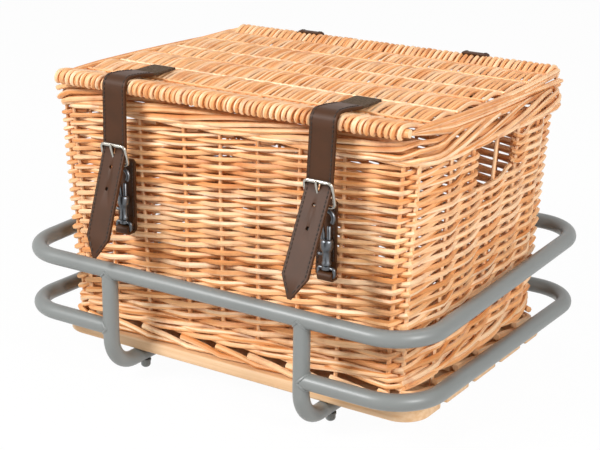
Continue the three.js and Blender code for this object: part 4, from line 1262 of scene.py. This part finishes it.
class BASKET_OT_hinges(bpy.types.Operator):
    """Cuts and bends the leather hinges at the back"""

    bl_idname = "basket.hinges"
    bl_label = "Hinges"

    def execute(self, context):
        sizes = context.scene.basket_sizes
        half = sizes.strap_width / 2
        face = LID_BACK + LID_ROUND
        rim_y = RIM_HIGH.y + 1.8 * MM
        for side in SIDE_SIGNS:
            x = middle_of(f"hinge_{side}_lid_leaf").x
            leaf_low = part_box(f"hinge_{side}_basket_leaf")[0]
            wall_y = leaf_low.y + LEATHER / 2
            on_lid = bent_route([
                yz(LID_BACK - 2 * MM, LID_TOP - 2.6 * MM), yz(LID_BACK + 3 * MM, LID_TOP - 2 * MM),
                yz(face, LID_TOP - 3 * MM), yz(face, LID_Z)], 4 * MM, 8)
            on_wall = bent_route([
                yz(face, LID_Z - 5 * MM), yz(face - 1 * MM, LID_Z - 11 * MM),
                yz(rim_y, RIM_HIGH.z - 9 * MM), yz(rim_y, RIM_LOW.z + 1 * MM),
                yz(wall_y, RIM_LOW.z - 9 * MM), yz(wall_y, leaf_low.z)], 3 * MM, 5)
            ribbon = Ribbon(x, on_lid + on_wall, -1)
            start, end = Vector((x, face, FOLD_Z + 4 * MM)), Vector((x, face, FOLD_Z - 4 * MM))
            across = ("lid", "basket", start, end)
            add_piece(f"leather_hinge_{side}", "leather", across,
                      [f"hinge_{side}_lid_leaf", f"hinge_{side}_basket_leaf"],
                      leather_mesh(ribbon, rectangle(0, ribbon.length, half)))
            runs = edge_runs(sizes, half, 3 * MM, ribbon.length - 3 * MM)
            thread = rods(stitch_routes(sizes, ribbon, runs), 6)
            add_piece(f"hinge_stitches_{side}", "thread", across, (), thread)
        return {"FINISHED"}


class BASKET_OT_buckles(bpy.types.Operator):
    """Bends the wire buckles and hangs their prongs"""

    bl_idname = "basket.buckles"
    bl_label = "Buckles"

    def execute(self, context):
        wire = context.scene.basket_sizes.buckle_wire
        for side in SIDE_SIGNS:
            low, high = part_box(f"buckle_{side}_frame")
            prong_low, prong_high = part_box(f"buckle_{side}_prong")
            x = (low.x + high.x) / 2
            half = (high.x - low.x) / 2 - wire
            heel = Vector((0, prong_high.y - 3 * MM, prong_low.z + 3 * MM))
            measures = STRAP_MEASURES[side]
            bar = Vector((0, low.y + wire - measures["hang"], high.z - wire + measures["bar_up"]))
            left, right = Vector((x - half, 0, 0)), Vector((x + half, 0, 0))
            places = bent_route([bar + left, bar + right, heel + right, heel + left], 4 * MM, 6, closed=True)
            inset = Vector((4.5 * MM, 0, 0))
            roller = tube([bar + left + inset, bar + right - inset], wire * 1.22, 20)
            add_piece(f"buckle_{side}", "nickel", f"strap_{side}", [f"buckle_{side}_frame"],
                      tube(places, wire, 16, closed=True), roller)
            up = (bar - heel).normalized()
            out = Vector((0, -up.z, up.y))
            tip = bar + out * 3.3 * MM + up * 1.5 * MM
            route = [
                (heel + out * 2.2 * MM, 1.5), (heel + out * 2.4 * MM + up * 4 * MM, 1.45),
                (heel.lerp(tip, 0.55) + out * 1.0 * MM, 1.35), (tip - up * 2 * MM, 1.25),
                (tip + up * 0.6 * MM - out * 0.5 * MM, 0.9)]
            middle = Vector((x, 0, 0))
            shank = rods([[(place + middle, radius * MM) for place, radius in route]], 12)
            knuckle = turned([(1.9, -2), (2.9, -2), (3, -1.8), (3, 1.8), (2.9, 2), (1.9, 2), (1.9, -2)],
                             heel + middle, 24, Matrix.Rotation(math.pi / 2, 4, "Y"))
            add_piece(f"buckle_prong_{side}", "nickel", f"prong_{side}", [f"buckle_{side}_prong"],
                      shank, knuckle)
        return {"FINISHED"}


EYE_WIRE = 1.7 * MM             # radius


class BASKET_OT_snaps(bpy.types.Operator):
    """Turns the bolt snaps and sews the leather tabs that hold them"""

    bl_idname = "basket.snaps"
    bl_label = "Bolt snaps"

    def execute(self, context):
        sizes = context.scene.basket_sizes
        for side in SIDE_SIGNS:
            self.tab(side, sizes)
            self.eye(side)
            self.body(side)
            self.bolt(side)
        return {"FINISHED"}

    @staticmethod
    def axis(side):
        """Middle of the eye, on the upright axis that the snap swivels about."""
        return middle_of(f"snap_{side}_eye")

    def tab(self, side, sizes):
        """A leather tab with its lower end rolled round the eye's bar."""
        low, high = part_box(f"tab_{side}")
        axis = self.axis(side)
        x = axis.x - {"left": 2.5, "right": 5.5}[side] * MM
        eye_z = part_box(f"snap_{side}_eye")[0].z + EYE_WIRE
        face = axis.y + 7 * MM + LEATHER / 2
        half = 10.8 * MM
        ribbon = Ribbon(x, [yz(face + 0.6 * MM, high.z), yz(face, high.z - 12 * MM),
                            yz(face, low.z + 14 * MM), yz(face, low.z)], 1)
        whole = ribbon.length
        cut = 3 * MM
        outline = [(0, -half + cut), (cut, -half), (whole - cut, -half), (whole, -half + cut),
                   (whole, half - cut), (whole - cut, half), (cut, half), (0, half - cut)]
        patch = leather_mesh(ribbon, outline)
        radius = 3.3 * MM
        turns = [math.radians(60 + 20 * step) for step in range(13)]
        loop = [yz(face - 1 * MM, eye_z + 12 * MM), yz(face - 3 * MM, eye_z + 6 * MM)]
        loop += [yz(axis.y + radius * math.cos(turn), eye_z + radius * math.sin(turn)) for turn in turns]
        loop.append(yz(face - 1 * MM, eye_z - 3.2 * MM))
        roll = Ribbon(axis.x, loop, 1)
        rolled = leather_mesh(roll, rectangle(0, roll.length, 7.6 * MM), thickness=2.4 * MM)
        add_piece(f"leather_tab_{side}", "leather", "basket", [f"tab_{side}"], patch, rolled)
        runs = edge_runs(sizes, half, cut, whole - cut)
        add_piece(f"tab_stitches_{side}", "thread", "basket", (), rods(stitch_routes(sizes, ribbon, runs), 6))

    def eye(self, side):
        """The wire eye and swivel disc under the snap."""
        low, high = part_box(f"snap_{side}_eye")
        y = self.axis(side).y
        x0, x1 = low.x + EYE_WIRE, high.x - EYE_WIRE
        z0 = low.z + EYE_WIRE
        z1 = z0 + 7.6 * MM
        corners = [Vector((x, y, z)) for x, z in ((x0, z0), (x1, z0), (x1, z1), (x0, z1))]
        places = bent_route(corners, 2 * MM, 5, closed=True)
        top = (high.z - z1) / MM
        disc = turned([(0, -1.6), (3.9, -1.6), (4.5, -1), (4.5, top - 0.6), (3.9, top), (0, top)],
                      Vector((self.axis(side).x, y, z1)), 24)
        add_piece(f"snap_eye_{side}", "zinc", "basket", [f"snap_{side}_eye"],
                  tube(places, EYE_WIRE, 12, closed=True), disc)

    def body(self, side):
        """The turned barrel and collar with the hook that grows out of it."""
        low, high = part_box(f"snap_{side}_body")
        axis = self.axis(side)
        top = 25
        barrel = turned([
            (0, 0), (3.6, 0), (4.5, 0.9), (4.5, 3), (3.9, 4), (3.9, 12), (4.5, 13.4), (5.2, 15), (5.9, 16.4),
            (6, top - 3), (5.4, top - 0.8), (4.4, top), (0, top)], Vector((axis.x, axis.y, low.z)))
        route = []
        for aside, height, radius in ((3.8, top - 5, 2.6), (4.4, top + 4, 2.4), (5.6, top + 11, 2.2)):
            route.append((Vector((axis.x - aside * MM, axis.y, low.z + height * MM)), radius * MM))
        hook_z = high.z - 8.8 * MM
        for step in range(15):
            turn = math.radians(180 - 218 * step / 14)
            place = Vector((axis.x + 6.6 * MM * math.cos(turn), axis.y, hook_z + 6.6 * MM * math.sin(turn)))
            route.append((place, 2.2 * MM))
        add_piece(f"snap_body_{side}", "zinc", f"snap_{side}", [f"snap_{side}_body"],
                  barrel, rods([route], 16))

    def bolt(self, side):
        """The spring bolt with its thumb knob."""
        low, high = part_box(f"snap_{side}_bolt")
        y = self.axis(side).y
        bolt_x = high.x - 2 * MM
        tall = (high.z - low.z) / MM
        rod = turned([(0, 0), (2, 0), (2, tall - 0.8), (1.4, tall), (0, tall)],
                     Vector((bolt_x, y, low.z)), 20)
        reach = (bolt_x - low.x) / MM
        profile = [(0, 0), (1.4, 0), (1.4, reach - 3.4), (1.7, reach - 3), (1.7, reach - 0.6), (1.2, reach),
                   (0, reach)]
        knob = turned(profile, Vector((bolt_x, y, low.z + 1.7 * MM)), 16,
                      Matrix.Rotation(-math.pi / 2, 4, "Y"))
        add_piece(f"snap_bolt_piece_{side}", "zinc", f"snap_bolt_{side}", [f"snap_{side}_bolt"], rod, knob)


# The stage

CAMERA_AZIMUTH = 32.83
CAMERA_ELEVATION = 17.92
CAMERA_ROLL = 0.78
CAMERA_DISTANCE = 1.4988
CAMERA_LENS = 86.76             # millimetres on a sensor 36 mm wide
CAMERA_AIM = Vector((-0.0070, MIDDLE_Y - 0.0012, 0.1400))
FLOOR_SHARE = 0.97              # how much of the floor is seen as plain white; the rest takes the shadow
WORLD_LIGHT = 0.09              # light from all round; the camera sees white
LAMPS = (                       # name, place, size in metres, watts
    ("Key", Vector((-1.1, -2.0, 1.6)), 0.8, 65),
    ("Fill", Vector((2.3, -0.9, 1.4)), 0.8, 53),
    ("Top", Vector((0.2, 0.4, 2.6)), 1.3, 15),
)


def seen_rays(tree):
    """1 for rays that show the stage itself: from the camera, off a shiny surface or through a clear one."""
    rays = add_node(tree, "ShaderNodeLightPath").outputs
    seen = add_node(tree, "ShaderNodeMath", {
        0: rays["Is Camera Ray"], 1: rays["Is Glossy Ray"]}, operation="MAXIMUM")
    through = add_node(tree, "ShaderNodeMath", {
        0: seen.outputs["Value"], 1: rays["Is Transmission Ray"]}, operation="MAXIMUM")
    return through.outputs["Value"]


class BASKET_OT_stage(bpy.types.Operator):
    """Sets the floor, the soft lights and the camera"""

    bl_idname = "basket.stage"
    bl_label = "Stage"

    def execute(self, context):
        scene = context.scene
        scene.view_settings.view_transform = "Standard"
        self.floor(scene)
        self.world(scene)
        for name, place, size, power in LAMPS:
            self.softbox(scene, name, place, size, power)
        self.camera(scene)
        return {"FINISHED"}

    @staticmethod
    def floor(scene):
        """A wide white floor that keeps the shadow."""
        bm = bmesh.new()
        bmesh.ops.create_grid(bm, x_segments=1, y_segments=1, size=12.0)
        floor = bpy.data.objects.new("floor", mesh_of(bm))
        scene.collection.objects.link(floor)
        material, tree, shader = new_finish("White studio floor", {
            "Base Color": (0.9, 0.9, 0.9, 1.0), "Roughness": 0.9, "Specular IOR Level": 0.1})
        glow = add_node(tree, "ShaderNodeEmission", {"Color": (1, 1, 1, 1), "Strength": 1.0})
        share = add_node(tree, "ShaderNodeMath", {0: seen_rays(tree), 1: FLOOR_SHARE}, operation="MULTIPLY")
        mixed = add_node(tree, "ShaderNodeMixShader", {
            0: share.outputs["Value"], 1: shader.outputs["BSDF"], 2: glow.outputs["Emission"]})
        tree.links.new(mixed.outputs["Shader"], tree.nodes["Material Output"].inputs["Surface"])
        floor.data.materials.append(material)

    @staticmethod
    def world(scene):
        """A white background that lights the basket only a little."""
        world = bpy.data.worlds.new("White studio")
        world.use_nodes = True
        tree = world.node_tree
        background = tree.nodes["Background"]
        background.inputs["Color"].default_value = (1, 1, 1, 1)
        strength = add_node(tree, "ShaderNodeMapRange", {
            "Value": seen_rays(tree), "To Min": WORLD_LIGHT, "To Max": 1.0})
        tree.links.new(strength.outputs["Result"], background.inputs["Strength"])
        scene.world = world

    @staticmethod
    def softbox(scene, name, place, size, power):
        """A square area lamp turned to the basket."""
        lamp = bpy.data.lights.new(name, "AREA")
        lamp.size = size
        lamp.energy = power
        holder = bpy.data.objects.new(name, lamp)
        holder.location = place
        holder.rotation_euler = (CAMERA_AIM - place).to_track_quat("-Z", "Y").to_euler()
        scene.collection.objects.link(holder)

    @staticmethod
    def camera(scene):
        """The camera, to the right of the front and a little above."""
        azimuth, elevation = math.radians(CAMERA_AZIMUTH), math.radians(CAMERA_ELEVATION)
        back = Vector((math.sin(azimuth) * math.cos(elevation), -math.cos(azimuth) * math.cos(elevation),
                       math.sin(elevation)))
        right = Vector((math.cos(azimuth), math.sin(azimuth), 0))
        up = back.cross(right)
        roll = Matrix.Rotation(math.radians(CAMERA_ROLL), 4, "Z")
        turn = Matrix((right, up, back)).transposed().to_4x4() @ roll
        lens = bpy.data.cameras.new("Camera")
        lens.lens = CAMERA_LENS
        lens.sensor_width = 36.0
        lens.clip_start = 0.01
        camera = bpy.data.objects.new("Camera", lens)
        camera.matrix_world = Matrix.Translation(CAMERA_AIM + back * CAMERA_DISTANCE) @ turn
        scene.collection.objects.link(camera)
        scene.camera = camera


class BASKET_PT_panel(bpy.types.Panel):
    """Lists the basket's pieces and their settings"""

    bl_label = "Wicker basket"
    bl_idname = "BASKET_PT_panel"
    bl_space_type = "VIEW_3D"
    bl_region_type = "UI"
    bl_category = "Basket"

    def draw(self, context):
        for operator in OPERATORS:
            self.layout.operator(operator.bl_idname)
        for group in (context.scene.basket_sizes, context.scene.basket_colours):
            box = self.layout.box()
            for name in group.__annotations__:
                box.prop(group, name)


OPERATORS = (
    BASKET_OT_stage, BASKET_OT_carrier, BASKET_OT_deck, BASKET_OT_walls, BASKET_OT_borders, BASKET_OT_lid,
    BASKET_OT_straps, BASKET_OT_hinges, BASKET_OT_buckles, BASKET_OT_snaps,
)
CLASSES = (BasketSizes, BasketColours, *OPERATORS, BASKET_PT_panel)


def register():
    for item in CLASSES:
        bpy.utils.register_class(item)
    bpy.types.Scene.basket_sizes = PointerProperty(type=BasketSizes)
    bpy.types.Scene.basket_colours = PointerProperty(type=BasketColours)


def unregister():
    del bpy.types.Scene.basket_colours
    del bpy.types.Scene.basket_sizes
    for item in reversed(CLASSES):
        bpy.utils.unregister_class(item)


def main():
    register()
    bpy.ops.basket.stage()
    bpy.ops.basket.carrier()
    bpy.ops.basket.deck()
    bpy.ops.basket.walls()
    bpy.ops.basket.borders()
    bpy.ops.basket.lid()
    bpy.ops.basket.straps()
    bpy.ops.basket.hinges()
    bpy.ops.basket.buckles()
    bpy.ops.basket.snaps()


if __name__ == "__main__":
    main()
